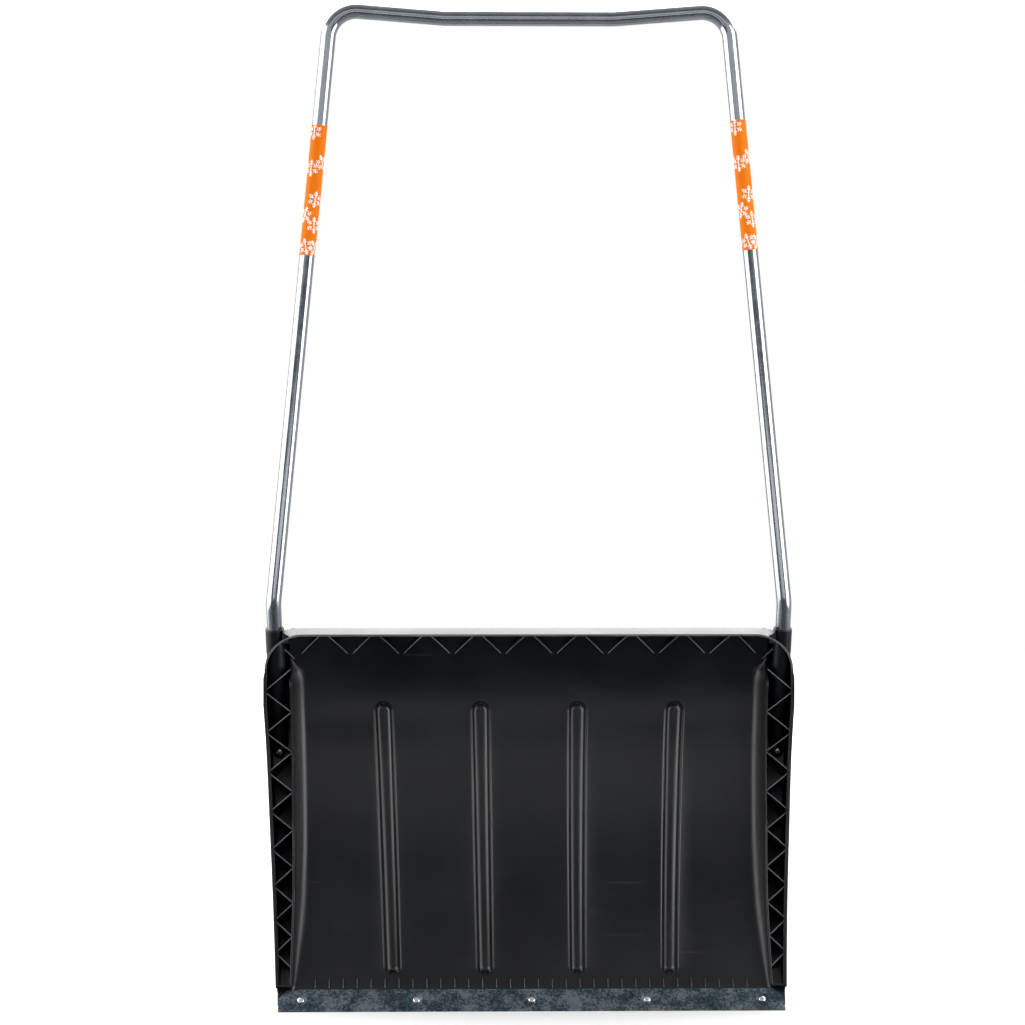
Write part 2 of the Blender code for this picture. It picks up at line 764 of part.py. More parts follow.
def handle_path():
    """The tube's middle line, from the foot of the left socket to the foot of the right one."""
    slope = math.tan(BAR_SLOPE)
    run = (arm_half(BAR_HEIGHT) - BAR_FLAT_HALF) / (1.0 + slope * math.tan(ARM_SPLAY))
    foot = tube_point(1.0, SOCKET_BOTTOM + SOCKET_FLOOR + FOOT_GAP)
    corner = world(BAR_FLAT_HALF + run, ARM_FORWARD, BAR_HEIGHT + run * slope)
    crease = world(BAR_FLAT_HALF, ARM_FORWARD, BAR_HEIGHT)
    middle = world(0.0, ARM_FORWARD, BAR_HEIGHT)
    half = [foot]
    half += arc_points(foot, KINK, corner, SOFT_BEND_RADIUS, 2)
    half += arc_points(KINK, corner, crease, BEND_RADIUS, 6)
    half += arc_points(corner, crease, middle, SOFT_BEND_RADIUS, 1)
    other = [Vector((-point.x, point.y, point.z)) for point in half]
    return other + list(reversed(half))


def tube_rings(path, radius, sides):
    """Rings square to a path, without twist."""
    rings = []
    normal = Vector((0.0, 1.0, 0.0))
    for index, point in enumerate(path):
        ahead = path[min(index + 1, len(path) - 1)] - point
        behind = point - path[max(index - 1, 0)]
        tangent = (ahead.normalized() + behind.normalized()).normalized()
        side = tangent.cross(normal).normalized()
        normal = side.cross(tangent).normalized()
        rings.append([point + side * x + normal * y for x, y in circle(radius, sides)])
    return rings


def build_handle(finish):
    path = handle_path()
    outer = tube_rings(path, TUBE_RADIUS, TUBE_SIDES)
    inner = tube_rings(path, TUBE_RADIUS - TUBE_WALL, TUBE_SIDES)
    tube = loft("handle_tube", outer + list(reversed(inner)), finish, closed=True, smooth=True)
    for side in (-1.0, 1.0):
        boolean(tube, handle_rivet_tool(socket_axis(side)), "DIFFERENCE")


def build_handle_rivets(finish):
    """Blind rivets through the sockets' front walls and the tube."""
    inside = TUBE_RADIUS - TUBE_WALL - GAP
    outline = [(TIP_RADIUS, inside - SWELL_LENGTH), (SHANK_RADIUS, inside - SWELL_LENGTH)]
    outline += [(SWELL_RADIUS, inside - SWELL_LENGTH * 0.4), (SHANK_RADIUS, inside - LAP)]
    outline += head_outline(SOCKET_RADIUS + GAP)
    for name, side in SIDES:
        matrix = socket_axis(side) @ Matrix.Translation((0.0, 0.0, along_socket(HANDLE_RIVET_HEIGHT)))
        matrix = matrix @ Matrix.Rotation(math.radians(90.0), 4, "X")
        turned(f"handle_rivet_{name}", matrix, outline, SMALL_SIDES, finish, hollow=False)


def build_bands(finish):
    """Printed bands wrapped round the arms."""
    inside = (TUBE_RADIUS + GAP) / math.cos(math.pi / BAND_SIDES)
    outside = inside + BAND_THICKNESS
    half = BAND_LENGTH * 0.5
    outline = [(inside, -half), (outside, -half), (outside, half), (inside, half)]
    for name, side in SIDES:
        centre = BAND_CENTRES[name]
        matrix = Matrix.Rotation(-side * ARM_SPLAY, 4, "Y")
        matrix.translation = world(side * arm_half(centre), ARM_FORWARD, centre)
        turned(f"snowflake_band_{name}", matrix, outline, BAND_SIDES, finish)


# ---------------------------------------------------------------- wheels

def build_brackets(finish):
    matrix, reach = bracket_frame()
    seat = reach - PAD_DEPTH - GAP
    half = BRACKET_LENGTH * 0.5
    ear_half = half - EAR_INSET
    shoulder = seat - BRACKET_STEEL - EAR_INSET * 4.0
    ear = [(-ear_half, seat - EAR_INSET), (ear_half, seat - EAR_INSET), (ear_half, shoulder)]
    for turn in range(20, 161, 20):
        angle = math.radians(turn)
        ear.append((EAR_TIP_RADIUS * math.cos(angle), -EAR_TIP_RADIUS * math.sin(angle)))
    ear.append((-ear_half, shoulder))
    for name, side in SIDES:
        low, high = bracket_span(side)
        base = box_rings(matrix, (low, -half, seat - BRACKET_STEEL), (high, half, seat))
        bracket = loft(f"axle_bracket_{name}", base, finish)
        outer = side * (BRACKET_EAR - EAR_INSET * 0.5)
        inner = outer - side * BRACKET_STEEL
        rings = [[matrix @ Vector((x, y, z)) for y, z in ear] for x in (inner, outer)]
        boolean(bracket, loft("ear", rings), "UNION")
        boolean(bracket, axle_hole_tool(inner - side * PAST, outer + side * PAST), "DIFFERENCE")
        for frame in screw_frames(side):
            tool = hole_tool("bracket_hole", frame, -BRACKET_STEEL - PAST, PAST, SCREW_RADIUS + GAP)
            boolean(bracket, tool, "DIFFERENCE")


def axle_hole_tool(start, end):
    """A cutter along the axle that clears it at the flats too."""
    outline = circle((AXLE_RADIUS + GAP) / math.cos(math.pi / AXLE_SIDES), AXLE_SIDES)
    frames = [x_frame(across, *axle_point()) for across in (start, end)]
    return loft("axle_hole", [[frame @ Vector((x, y, 0.0)) for x, y in outline] for frame in frames])


def build_bracket_screws(finish):
    """Pan-head screws into the pads."""
    seat = -GAP - BRACKET_STEEL - GAP
    outline = [(TIP_RADIUS, seat - SCREW_HEAD_HEIGHT), (HEAD_RADIUS * 0.8, seat - SCREW_HEAD_HEIGHT * 0.93)]
    outline += [(HEAD_RADIUS, seat - SCREW_HEAD_HEIGHT * 0.4), (HEAD_RADIUS, seat), (SCREW_RADIUS, seat)]
    outline += [(SCREW_RADIUS, SCREW_LENGTH * 0.7), (TIP_RADIUS, SCREW_LENGTH * 0.9)]
    for name, side in SIDES:
        for level, frame in zip(("upper", "lower"), screw_frames(side)):
            turned(f"bracket_screw_{name}_{level}", frame, outline, SMALL_SIDES, finish, hollow=False)


def build_axle(finish):
    tip = AXLE_RADIUS - AXLE_CHAMFER
    outline = [(tip, -AXLE_HALF), (AXLE_RADIUS, -AXLE_HALF + AXLE_CHAMFER)]
    outline += [(AXLE_RADIUS, AXLE_HALF - AXLE_CHAMFER), (tip, AXLE_HALF)]
    turned("axle", x_frame(0.0, *axle_point()), outline, AXLE_SIDES, finish, hollow=False)


def tyre_outline():
    inside = WHEEL_RADIUS - TYRE_DEPTH + GAP
    half = WHEEL_WIDTH * 0.5
    outline = [(inside, -half), (WHEEL_RADIUS - TYRE_SHOULDER, -half)]
    outline += [(WHEEL_RADIUS - TYRE_CROWN, -half + TYRE_SHOULDER), (WHEEL_RADIUS, 0.0)]
    outline += [(WHEEL_RADIUS - TYRE_CROWN, half - TYRE_SHOULDER)]
    outline += [(WHEEL_RADIUS - TYRE_SHOULDER, half), (inside, half)]
    return outline


def hub_outline():
    """Rim, web and boss."""
    hole = (BUSH_RADIUS + GAP) / math.cos(math.pi / AXLE_SIDES)
    rim = WHEEL_RADIUS - TYRE_DEPTH
    inner_rim = rim - RIM_RING
    half = WHEEL_WIDTH * 0.5
    side = [(hole, HUB_WIDTH * 0.5), (HUB_RADIUS, HUB_WIDTH * 0.5), (HUB_RADIUS, WEB_HALF)]
    side += [(inner_rim, WEB_HALF), (inner_rim, half), (rim, half)]
    return [(radius, -height) for radius, height in side] + list(reversed(side))


def ring_outline(inside, outside, ends):
    """A plain ring between two heights, given in any order."""
    low, high = sorted(ends)
    return [(inside, low), (outside, low), (outside, high), (inside, high)]


def cap_outline(inside, start):
    """A push-on cap, narrowed at its end."""
    outline = [(inside, start), (CAP_RADIUS, start), (CAP_RADIUS, start + CAP_LENGTH * 0.6)]
    outline += [(CAP_RADIUS * 0.7, start + CAP_LENGTH), (inside, start + CAP_LENGTH)]
    return outline


def build_wheels(tyre_finish, wheel_finish, bush_finish, steel_finish):
    bore = (AXLE_RADIUS + GAP) / math.cos(math.pi / AXLE_SIDES)
    half = HUB_WIDTH * 0.5
    washer = (half + GAP, half + GAP + WASHER_THICKNESS)
    for name, side in SIDES:
        matrix = x_frame(side * WHEEL_CENTRE, *axle_point(), side)
        turned(f"tyre_{name}", matrix, tyre_outline(), WHEEL_SIDES, tyre_finish)
        turned(f"wheel_{name}", matrix, hub_outline(), WHEEL_SIDES, wheel_finish)
        bush = ring_outline(bore, BUSH_RADIUS, (-half, half))
        turned(f"wheel_bush_{name}", matrix, bush, AXLE_SIDES, bush_finish)
        for level, way in (("inner", -1.0), ("outer", 1.0)):
            outline = ring_outline(bore, WASHER_RADIUS, (way * washer[0], way * washer[1]))
            turned(f"axle_washer_{name}_{level}", matrix, outline, AXLE_SIDES, steel_finish)
        cap = cap_outline(bore, washer[1] + GAP)
        turned(f"axle_cap_{name}", matrix, cap, AXLE_SIDES, steel_finish)


# ---------------------------------------------------------------- build

for item in list(bpy.data.objects):
    bpy.data.objects.remove(item)

plastic = material("black_plastic", (0.012, 0.013, 0.016), 0.42, 0.0)
zinc = material("zinc_plated_tube", (0.62, 0.63, 0.65), 0.22, 1.0)
galvanised = material("galvanised_strip", (0.22, 0.24, 0.27), 0.45, 1.0)
rivet_steel = material("rivet_steel", (0.70, 0.70, 0.72), 0.30, 1.0)
band_print = material("orange_band", (1.0, 0.20, 0.0), 0.45, 0.0)
bracket_steel = material("bracket_steel", (0.45, 0.46, 0.48), 0.40, 1.0)
axle_steel = material("axle_steel", (0.55, 0.56, 0.58), 0.30, 1.0)
rubber = material("tyre_rubber", (0.015, 0.015, 0.015), 0.80, 0.0)
wheel_plastic = material("wheel_plastic", (0.030, 0.030, 0.032), 0.45, 0.0)
bush_plastic = material("bush_plastic", (0.60, 0.60, 0.58), 0.50, 0.0)

build_scoop(plastic)
build_strip(galvanised)
build_strip_rivets(rivet_steel)
build_handle(zinc)
build_handle_rivets(rivet_steel)
build_bands(band_print)
build_brackets(bracket_steel)
build_bracket_screws(rivet_steel)
build_axle(axle_steel)
build_wheels(rubber, wheel_plastic, bush_plastic, bracket_steel)
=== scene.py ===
"""The snow scoop's looks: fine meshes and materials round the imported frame.

Metres, +Z up, front towards -Y. The scoop's pieces are laid out on its flat face first,
as (across, down, out), and then placed on its side profile.
"""
from math import cos, hypot, pi, radians, sin, sqrt, tan

import bmesh
import bpy
from mathutils import Matrix, Vector

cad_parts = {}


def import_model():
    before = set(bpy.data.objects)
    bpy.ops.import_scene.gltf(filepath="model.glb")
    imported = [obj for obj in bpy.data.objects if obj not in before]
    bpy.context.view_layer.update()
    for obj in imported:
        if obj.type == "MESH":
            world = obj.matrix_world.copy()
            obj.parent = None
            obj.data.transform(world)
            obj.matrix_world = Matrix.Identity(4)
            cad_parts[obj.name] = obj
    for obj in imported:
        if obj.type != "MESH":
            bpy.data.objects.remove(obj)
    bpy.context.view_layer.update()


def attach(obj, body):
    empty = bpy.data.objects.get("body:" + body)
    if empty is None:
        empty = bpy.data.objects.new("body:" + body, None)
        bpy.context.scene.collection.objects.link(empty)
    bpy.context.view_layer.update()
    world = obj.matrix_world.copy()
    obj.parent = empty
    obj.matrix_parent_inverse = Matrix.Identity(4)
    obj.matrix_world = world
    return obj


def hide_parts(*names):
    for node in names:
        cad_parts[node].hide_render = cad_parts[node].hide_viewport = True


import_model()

# ---------------------------------------------------------------- sizes, as in the CAD

GAP = 0.0003
TOP_SLOPE = radians(-19.0)
ARCS = ((0.302, 38.0), (0.757, 24.7), (0.090, 6.3))
APRON_LENGTH = 0.0400
FACE_LENGTH = sum(radius * radians(turn) for radius, turn in ARCS) + APRON_LENGTH
DEPTH_CENTRE = 0.0689
WALL = 0.0030
RIM_WALL = 0.0032
HALF_WIDTH = 0.376
CORNER_RADIUS = 0.054
SIDE_STRAIGHT = 0.110
SIDE_TAPER = 0.0695
LIP = 0.0018
LIP_START = 0.062
LIP_DEPTH = 0.004
RIM_TOP = 0.023
RIM_SIDE = 0.037
RIM_END = 0.008
RIM_TAPER_START = 0.300
TRAY_LENGTH = 0.5390
PLATE_END = 0.5640
INNER_TOP = 0.3385
INNER_WAIST = 0.3253
INNER_END = 0.3245
WAIST = 0.400
INNER_START = 0.042
INNER_FULL = 0.078
WALL_SWEEP = 0.020
CHANNEL_DROP = 0.012
CHANNEL_RISE = 0.300
CHANNEL_END_DROP = 0.002
RIB = 0.0020
RIB_RECESS = 0.0030
TRUSS_START = 0.0546
TRUSS_STEP = 0.0341
TRUSS_SHORTENING = 0.00036
TRUSS_STEPS = 16
GUSSET_PAIRS = 9
GUSSET_PITCH = 0.0727
GUSSET_APEX = 0.0040
GUSSET_RUN = 0.0286
GUSSET_DROP = 0.0370
CORNER_RIB_START = (0.3550, 0.0165)
CORNER_RIB_END = (0.3335, 0.0450)
BEAD_TOP = 0.107
BEAD_END = 0.513
BEAD_SPACING_TOP = 0.1388
BEAD_SPACING_END = 0.1255
BEAD_WIDTH_TOP = 0.026
BEAD_WIDTH_END = 0.021
TUBE_WALL = 0.0012
SOCKET_RADIUS = 0.01325
SOCKET_HALF = 0.3607
SOCKET_TOP = 0.5095
SOCKET_BOTTOM = 0.2980
SOCKET_LEAN = radians(11.0)
SOCKET_SPLAY = radians(1.7)
SOCKET_MOUTH_FORWARD = 0.0240
KINK_HEIGHT = 0.5420
ARM_SPLAY = radians(5.5)
BAR_HEIGHT = 1.3700
BAR_FLAT_HALF = 0.120
BAR_SLOPE = radians(4.5)
BEND_RADIUS = 0.040
HANDLE_RIVET_HEIGHT = 0.3320
NOTCH_HEIGHT = 0.3085
NOTCH_SIZE = 0.0090
BAND_LENGTH = 0.185
BAND_CENTRES = {"left": 1.1255, "right": 1.1345}
STRIP_THICKNESS = 0.0015
STRIP_HALF = 0.3413
STRIP_TOP = 0.5392
STRIP_CHAMFER_ACROSS = 0.012
STRIP_CHAMFER_DOWN = 0.0155
STRIP_RIVET_PITCH = 0.1557
STRIP_RIVET_DOWN = 0.5572
HEAD_RADIUS = 0.0048
HEAD_HEIGHT = 0.0018
GROUND_SLOPE = radians(40.0)
WHEEL_REACH = 0.380
WHEEL_RADIUS = 0.050
WHEEL_WIDTH = 0.028
WHEEL_CENTRE = 0.300
TYRE_DEPTH = 0.009
HUB_RADIUS = 0.014
HUB_WIDTH = 0.034
BUSH_RADIUS = 0.0080
AXLE_RADIUS = 0.005
AXLE_HALF = 0.3275
WASHER_RADIUS = 0.0105
WASHER_THICKNESS = 0.0015
CAP_RADIUS = 0.0085
CAP_LENGTH = 0.0070
BRACKET_STEEL = 0.0030
BRACKET_EAR = 0.272
BRACKET_WIDTH = 0.046
BRACKET_LENGTH = 0.064
EAR_TIP_RADIUS = 0.0125
PAD_DEPTH = 0.0100
SCREW_SPACING = 0.040

# A little under the CAD's 0.0110 and 0.0045
TUBE_RADIUS = 0.0108
BEAD_HEIGHT = 0.0043

# Only in the visual model
TICKS = 32
TICK_PITCH = 0.0189
TICK_TOP = 0.518
TICK_END = 0.5365
EDGE = 0.0009  # rounding of the moulding's edges
SIDES = (("left", -1.0), ("right", 1.0))

SCOOP_BODY = "scoop_body"
WHEEL_BODIES = {"left": "left_wheel", "right": "right_wheel"}


# ---------------------------------------------------------------- profile

def profile_point(down):
    """(forward, height, slope) of the face's front surface at a distance down from its top edge."""
    forward, height, slope, left = 0.0, 0.0, TOP_SLOPE, down
    for radius, turn in ARCS:
        step = min(max(left, 0.0), radius * radians(turn))
        if left < 0.0:
            break
        bend = slope + step / radius
        forward += radius * (cos(slope) - cos(bend))
        height -= radius * (sin(bend) - sin(slope))
        slope = bend
        left -= step
    forward += left * sin(slope)
    height -= left * cos(slope)
    return forward, height, slope


REAR_LINE = profile_point(ARCS[0][0] * -TOP_SLOPE)[0]
END_SLOPE = profile_point(FACE_LENGTH)[2]
BASE_HEIGHT = profile_point(FACE_LENGTH)[1] + GAP * sin(END_SLOPE)


def place(across, down, out):
    """World position of a point on the flat drawing of the scoop."""
    forward, height, slope = profile_point(down)
    forward += out * cos(slope) - REAR_LINE
    height += out * sin(slope) - BASE_HEIGHT
    return Vector((across, DEPTH_CENTRE - forward, height))


def world(across, forward, height):
    return Vector((across, DEPTH_CENTRE - forward, height))


def tilted_frame(z_axis, spot):
    """Matrix at a spot: local Z along the direction given, local X across the scoop."""
    y_axis = z_axis.cross(Vector((1.0, 0.0, 0.0))).normalized()
    matrix = Matrix((y_axis.cross(z_axis), y_axis, z_axis)).transposed().to_4x4()
    matrix.translation = spot
    return matrix


def face_normal(down):
    """Direction straight out of the face's front."""
    slope = profile_point(down)[2]
    return Vector((0.0, -cos(slope), sin(slope)))


def smooth_step(value):
    value = min(max(value, 0.0), 1.0)
    return value * value * (3.0 - 2.0 * value)


def spread(start, end, count):
    return [start + (end - start) * index / count for index in range(count + 1)]


def side_line(down):
    return HALF_WIDTH - SIDE_TAPER * max(down - SIDE_STRAIGHT, 0.0)


def corner_inset(down, radius, start):
    rise = radius - (down - start)
    if rise <= 0.0:
        return 0.0
    return radius - sqrt(max(radius * radius - rise * rise, 0.0))


def wall_middle(down):
    """Half width to the middle of the outer wall, rounded at the top corner."""
    inset = RIM_WALL * 0.5
    return side_line(down) - LIP - inset - corner_inset(down, CORNER_RADIUS - inset, inset)


def inner_half(down):
    if down < WAIST:
        return INNER_TOP + (INNER_WAIST - INNER_TOP) * down / WAIST
    return INNER_WAIST + (INNER_END - INNER_WAIST) * (down - WAIST) / (TRAY_LENGTH - WAIST)


def tray_half(down):
    """Half width between the inner walls, kept inside the outer wall's rounded corner."""
    return min(inner_half(down), wall_middle(down) - WALL)


def rim_height(down):
    if down < INNER_FULL:
        return RIM_TOP + (RIM_SIDE - RIM_TOP) * max(down, 0.0) / INNER_FULL
    if down < RIM_TAPER_START:
        return RIM_SIDE
    return RIM_SIDE + (RIM_END - RIM_SIDE) * (down - RIM_TAPER_START) / (TRAY_LENGTH - RIM_TAPER_START)


def inner_height(down):
    rise = smooth_step((down - INNER_START) / (INNER_FULL - INNER_START))
    end = sqrt(min(max(TRAY_LENGTH - down, 0.0) / 0.006, 1.0))
    return (rim_height(down) - 0.001) * rise * (0.15 + 0.85 * end)


def channel_drop(down):
    if down < CHANNEL_RISE:
        return CHANNEL_DROP
    part = (down - CHANNEL_RISE) / (TRAY_LENGTH - CHANNEL_RISE)
    return CHANNEL_DROP + (CHANNEL_END_DROP - CHANNEL_DROP) * part


# ---------------------------------------------------------------- materials

def set_inputs(tree, node, inputs):
    """Set a node's inputs to values, or link them where a value is another node's output."""
    for name, value in inputs.items():
        if isinstance(value, bpy.types.NodeSocket):
            tree.links.new(value, node.inputs[name])
        else:
            node.inputs[name].default_value = value


def add_node(tree, kind, inputs):
    node = tree.nodes.new("ShaderNode" + kind)
    set_inputs(tree, node, inputs)
    return node


def principled(name, colour, roughness, metallic=0.0):
    made = bpy.data.materials.new(name)
    made.use_nodes = True
    shader = made.node_tree.nodes["Principled BSDF"]
    inputs = {"Base Color": (*colour, 1.0), "Roughness": roughness, "Metallic": metallic}
    set_inputs(made.node_tree, shader, inputs)
    return made, made.node_tree, shader


def object_noise(tree, scale, detail=3.0, stretch=None, turn=(0.0, 0.0, 0.0)):
    """Noise in the object's own coordinates, turned and stretched if asked."""
    spot = add_node(tree, "TexCoord", {}).outputs["Object"]
    if stretch is not None:
        mapping = add_node(tree, "Mapping", {"Vector": spot, "Rotation": turn, "Scale": stretch})
        spot = mapping.outputs["Vector"]
    return add_node(tree, "TexNoise", {"Vector": spot, "Scale": scale, "Detail": detail}).outputs["Fac"]


def remap(tree, source, low, high, start=0.3, end=0.7):
    inputs = {"Value": source, "From Min": start, "From Max": end, "To Min": low, "To Max": high}
    return add_node(tree, "MapRange", inputs).outputs["Result"]


def ramp(tree, source, stops):
    node = add_node(tree, "ValToRGB", {"Fac": source})
    while len(node.color_ramp.elements) < len(stops):
        node.color_ramp.elements.new(0.5)
    for element, (position, colour) in zip(node.color_ramp.elements, stops):
        element.position = position
        element.color = (*colour, 1.0)
    return node.outputs["Color"]


def bump(tree, shader, height, strength, distance):
    node = add_node(tree, "Bump", {"Height": height, "Strength": strength, "Distance": distance})
    tree.links.new(node.outputs["Normal"], shader.inputs["Normal"])


def add(tree, first, second, weight):
    """first + second * weight."""
    node = add_node(tree, "Math", {0: second, 1: weight, 2: first})
    node.operation = "MULTIPLY_ADD"
    return node.outputs["Value"]


def hairlines(tree, scale, stretch, turn):
    """Thin straight scratches: where a long stretched noise crosses a level, and only here and there."""
    line = remap(tree, object_noise(tree, scale, 1.0, stretch, turn), 0.0, 1.0, 0.700, 0.725)
    mask = remap(tree, object_noise(tree, 7.0, 2.0), 0.0, 1.0, 0.50, 0.60)
    both = add_node(tree, "Math", {0: line, 1: mask})
    both.operation = "MULTIPLY"
    return both.outputs["Value"]


def moulded_plastic(name, dark, light, rough_low, rough_high):
    """Black moulding: slow colour drift, flow marks down the face, fine grain and light scuffs."""
    made, tree, shader = principled(name, dark, 0.4)
    drift = object_noise(tree, 9.0, 4.0)
    flow = object_noise(tree, 5.0, 5.0, (9.0, 1.0, 1.0))
    scratch = hairlines(tree, 30.0, (0.22, 3.0, 6.0), (0.0, radians(7.0), 0.0))
    tone = add(tree, add(tree, drift, flow, 0.35), scratch, 0.45)
    scuffs = remap(tree, object_noise(tree, 60.0, 6.0, (0.25, 1.0, 1.6)), 0.0, 0.08, 0.62, 0.75)
    rough = add(tree, remap(tree, drift, rough_low, rough_high), scuffs, 1.0)
    set_inputs(tree, shader, {
        "Base Color": ramp(tree, tone, ((0.45, dark), (0.85, light))),
        "Roughness": add(tree, rough, scratch, 0.2),
        "Specular IOR Level": 0.55,
    })
    grain = object_noise(tree, 1400.0, 2.0)
    waves = object_noise(tree, 26.0, 2.0)
    bump(tree, shader, add(tree, waves, grain, 0.10), 0.25, 0.0012)
    return made


def plated_steel(name, colour, rough_low, rough_high, brushed, metallic=1.0):
    """Plated steel: drawn lines along the piece, cloudy roughness and faint spots."""
    made, tree, shader = principled(name, colour, rough_low, metallic)
    cloud = object_noise(tree, 40.0, 4.0)
    darker = tuple(channel * 0.86 for channel in colour)
    set_inputs(tree, shader, {
        "Base Color": ramp(tree, cloud, ((0.35, darker), (0.65, colour))),
        "Roughness": remap(tree, cloud, rough_low, rough_high),
    })
    bump(tree, shader, object_noise(tree, 300.0, 3.0, brushed), 0.08, 0.0003)
    return made


def galvanised_steel():
    """Hot-dip zinc gone dull: fine crystal flakes in dark blue greys, with cloudy roughness."""
    made, tree, shader = principled("galvanised_strip", (0.10, 0.12, 0.14), 0.42, 1.0)
    spot = add_node(tree, "TexCoord", {}).outputs["Object"]
    flakes = add_node(tree, "TexVoronoi", {"Vector": spot, "Scale": 420.0})
    grey = add_node(tree, "SeparateColor", {"Color": flakes.outputs["Color"]})
    tone = add(tree, object_noise(tree, 38.0, 5.0), grey.outputs["Red"], 0.30)
    stops = ((0.38, (0.030, 0.050, 0.066)), (0.60, (0.085, 0.120, 0.150)), (0.80, (0.26, 0.31, 0.35)))
    colour = ramp(tree, tone, stops)
    set_inputs(tree, shader, {"Base Color": colour, "Roughness": remap(tree, tone, 0.52, 0.36)})
    bump(tree, shader, tone, 0.20, 0.0003)
    return made


def printed_film(name, colour):
    made, tree, shader = principled(name, colour, 0.35)
    wrinkle = object_noise(tree, 55.0, 3.0)
    darker = tuple(channel * 0.93 for channel in colour)
    set_inputs(tree, shader, {
        "Base Color": ramp(tree, wrinkle, ((0.3, darker), (0.7, colour))),
        "Roughness": remap(tree, wrinkle, 0.46, 0.56),
        "Specular IOR Level": 0.12,
    })
    bump(tree, shader, wrinkle, 0.06, 0.0003)
    return made


def rubber():
    clean, dusty = (0.014, 0.014, 0.014), (0.045, 0.043, 0.040)
    made, tree, shader = principled("tyre_rubber", clean, 0.8)
    dust = object_noise(tree, 70.0, 5.0)
    set_inputs(tree, shader, {
        "Base Color": ramp(tree, dust, ((0.4, clean), (0.8, dusty))),
        "Roughness": remap(tree, dust, 0.68, 0.88),
    })
    bump(tree, shader, object_noise(tree, 900.0, 3.0), 0.25, 0.0004)
    return made


PLASTIC = moulded_plastic("scoop_plastic", (0.0012, 0.0015, 0.0024), (0.0040, 0.0045, 0.0062), 0.28, 0.36)
# Lighter plastic for the rib tops and the rim's front edge round the top corners: a painted highlight,
# standing in for the light these thin edges catch
EDGE_HIGHLIGHT_PAINT = moulded_plastic("painted_edge_highlight", (0.050, 0.054, 0.062), (0.120, 0.125, 0.135), 0.30, 0.42)
WHEEL_PLASTIC = moulded_plastic("wheel_plastic", (0.020, 0.020, 0.022), (0.032, 0.032, 0.034), 0.42, 0.55)
TUBE_STEEL = plated_steel("zinc_tube", (0.52, 0.55, 0.60), 0.12, 0.20, (1.0, 1.0, 0.04), 0.94)
RIVET_STEEL = plated_steel("rivet_steel", (0.90, 0.90, 0.91), 0.14, 0.24, (1.0, 1.0, 1.0), 0.85)
BRACKET_FINISH = plated_steel("bracket_steel", (0.50, 0.51, 0.53), 0.30, 0.46, (1.0, 1.0, 0.2))
AXLE_FINISH = plated_steel("axle_steel", (0.58, 0.59, 0.61), 0.20, 0.34, (0.04, 1.0, 1.0))
GALVANISED = galvanised_steel()
ORANGE_FILM = printed_film("band_print", (0.76, 0.170, 0.0))
WHITE_INK = printed_film("band_white", (0.93, 0.93, 0.93))
RUBBER = rubber()
NYLON, _, _ = principled("bush_plastic", (0.62, 0.61, 0.57), 0.45)


# ---------------------------------------------------------------- mesh helpers

def add_loft(bm, rings, closed=False):
    """Skin rings of equal length; open lofts get a cap at each end. Returns the skin, strip by strip."""
    loops = [[bm.verts.new(point) for point in ring] for ring in rings]
    pairs = list(zip(loops, loops[1:]))
    if closed:
        pairs.append((loops[-1], loops[0]))
    skin = []
    for low, high in pairs:
        for index in range(len(low)):
            after = (index + 1) % len(low)
            skin.append(bm.faces.new((low[index], low[after], high[after], high[index])))
    if not closed:
        bm.faces.new(list(reversed(loops[0])))
        bm.faces.new(loops[-1])
    return skin


def add_object(name, data):
    made = bpy.data.objects.new(name, data)
    bpy.context.collection.objects.link(made)
    return made


def mesh_object(name, bm):
    """Turn a bmesh into an object, with its faces pointing outwards."""
    bmesh.ops.recalc_face_normals(bm, faces=bm.faces)
    mesh = bpy.data.meshes.new(name)
    bm.to_mesh(mesh)
    bm.free()
    return add_object(name, mesh)


def shade(mesh, sharp):
    """Smooth shading, with hard edges over an angle in degrees."""
    mesh.shade_smooth()
    mesh.set_sharp_from_angle(angle=radians(sharp))


def piece(name, bm, finish, body, replaced=(), sharp=35.0):
    """Finish a bmesh as a visible piece that rides on a body."""
    made = mesh_object(name, bm)
    shade(made.data, sharp)
    made.data.materials.append(finish)
    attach(made, body)
    if replaced:
        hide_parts(*replaced)
    return made


def circle(radius, count):
    step = 2.0 * pi / count
    return [(radius * cos(step * index), radius * sin(step * index)) for index in range(count)]


def add_turned(bm, matrix, outline, sides, hollow):
    """Turn (radius, height) points round the matrix's local Z."""
    rings = []
    for radius, height in outline:
        rings.append([matrix @ Vector((x, y, height)) for x, y in circle(radius, sides)])
    add_loft(bm, rings, closed=hollow)


def turned_piece(node, matrix, outline, sides, finish, body=SCOOP_BODY, hollow=False):
    """A turned piece that stands in for one CAD node."""
    bm = bmesh.new()
    add_turned(bm, matrix, outline, sides, hollow)
    piece(f"{node}_fine", bm, finish, body, (node,))


def sleeve(bore, radius, low, high, edge):
    """Outline of a round sleeve with its outer edges broken."""
    outline = [(bore, low), (radius - edge, low), (radius, low + edge)]
    return outline + [(radius, high - edge), (radius - edge, high), (bore, high)]


def quarter(steps):
    """Sine and cosine at even steps of a quarter turn."""
    return [(sin(turn), cos(turn)) for turn in spread(0.0, 0.5 * pi, steps)]


def arc(start, end, steps, wide, high):
    """Points on an ellipse about the origin, between two angles in degrees."""
    turns = spread(radians(start), radians(end), steps)
    return [(wide * cos(turn), high * sin(turn)) for turn in turns]


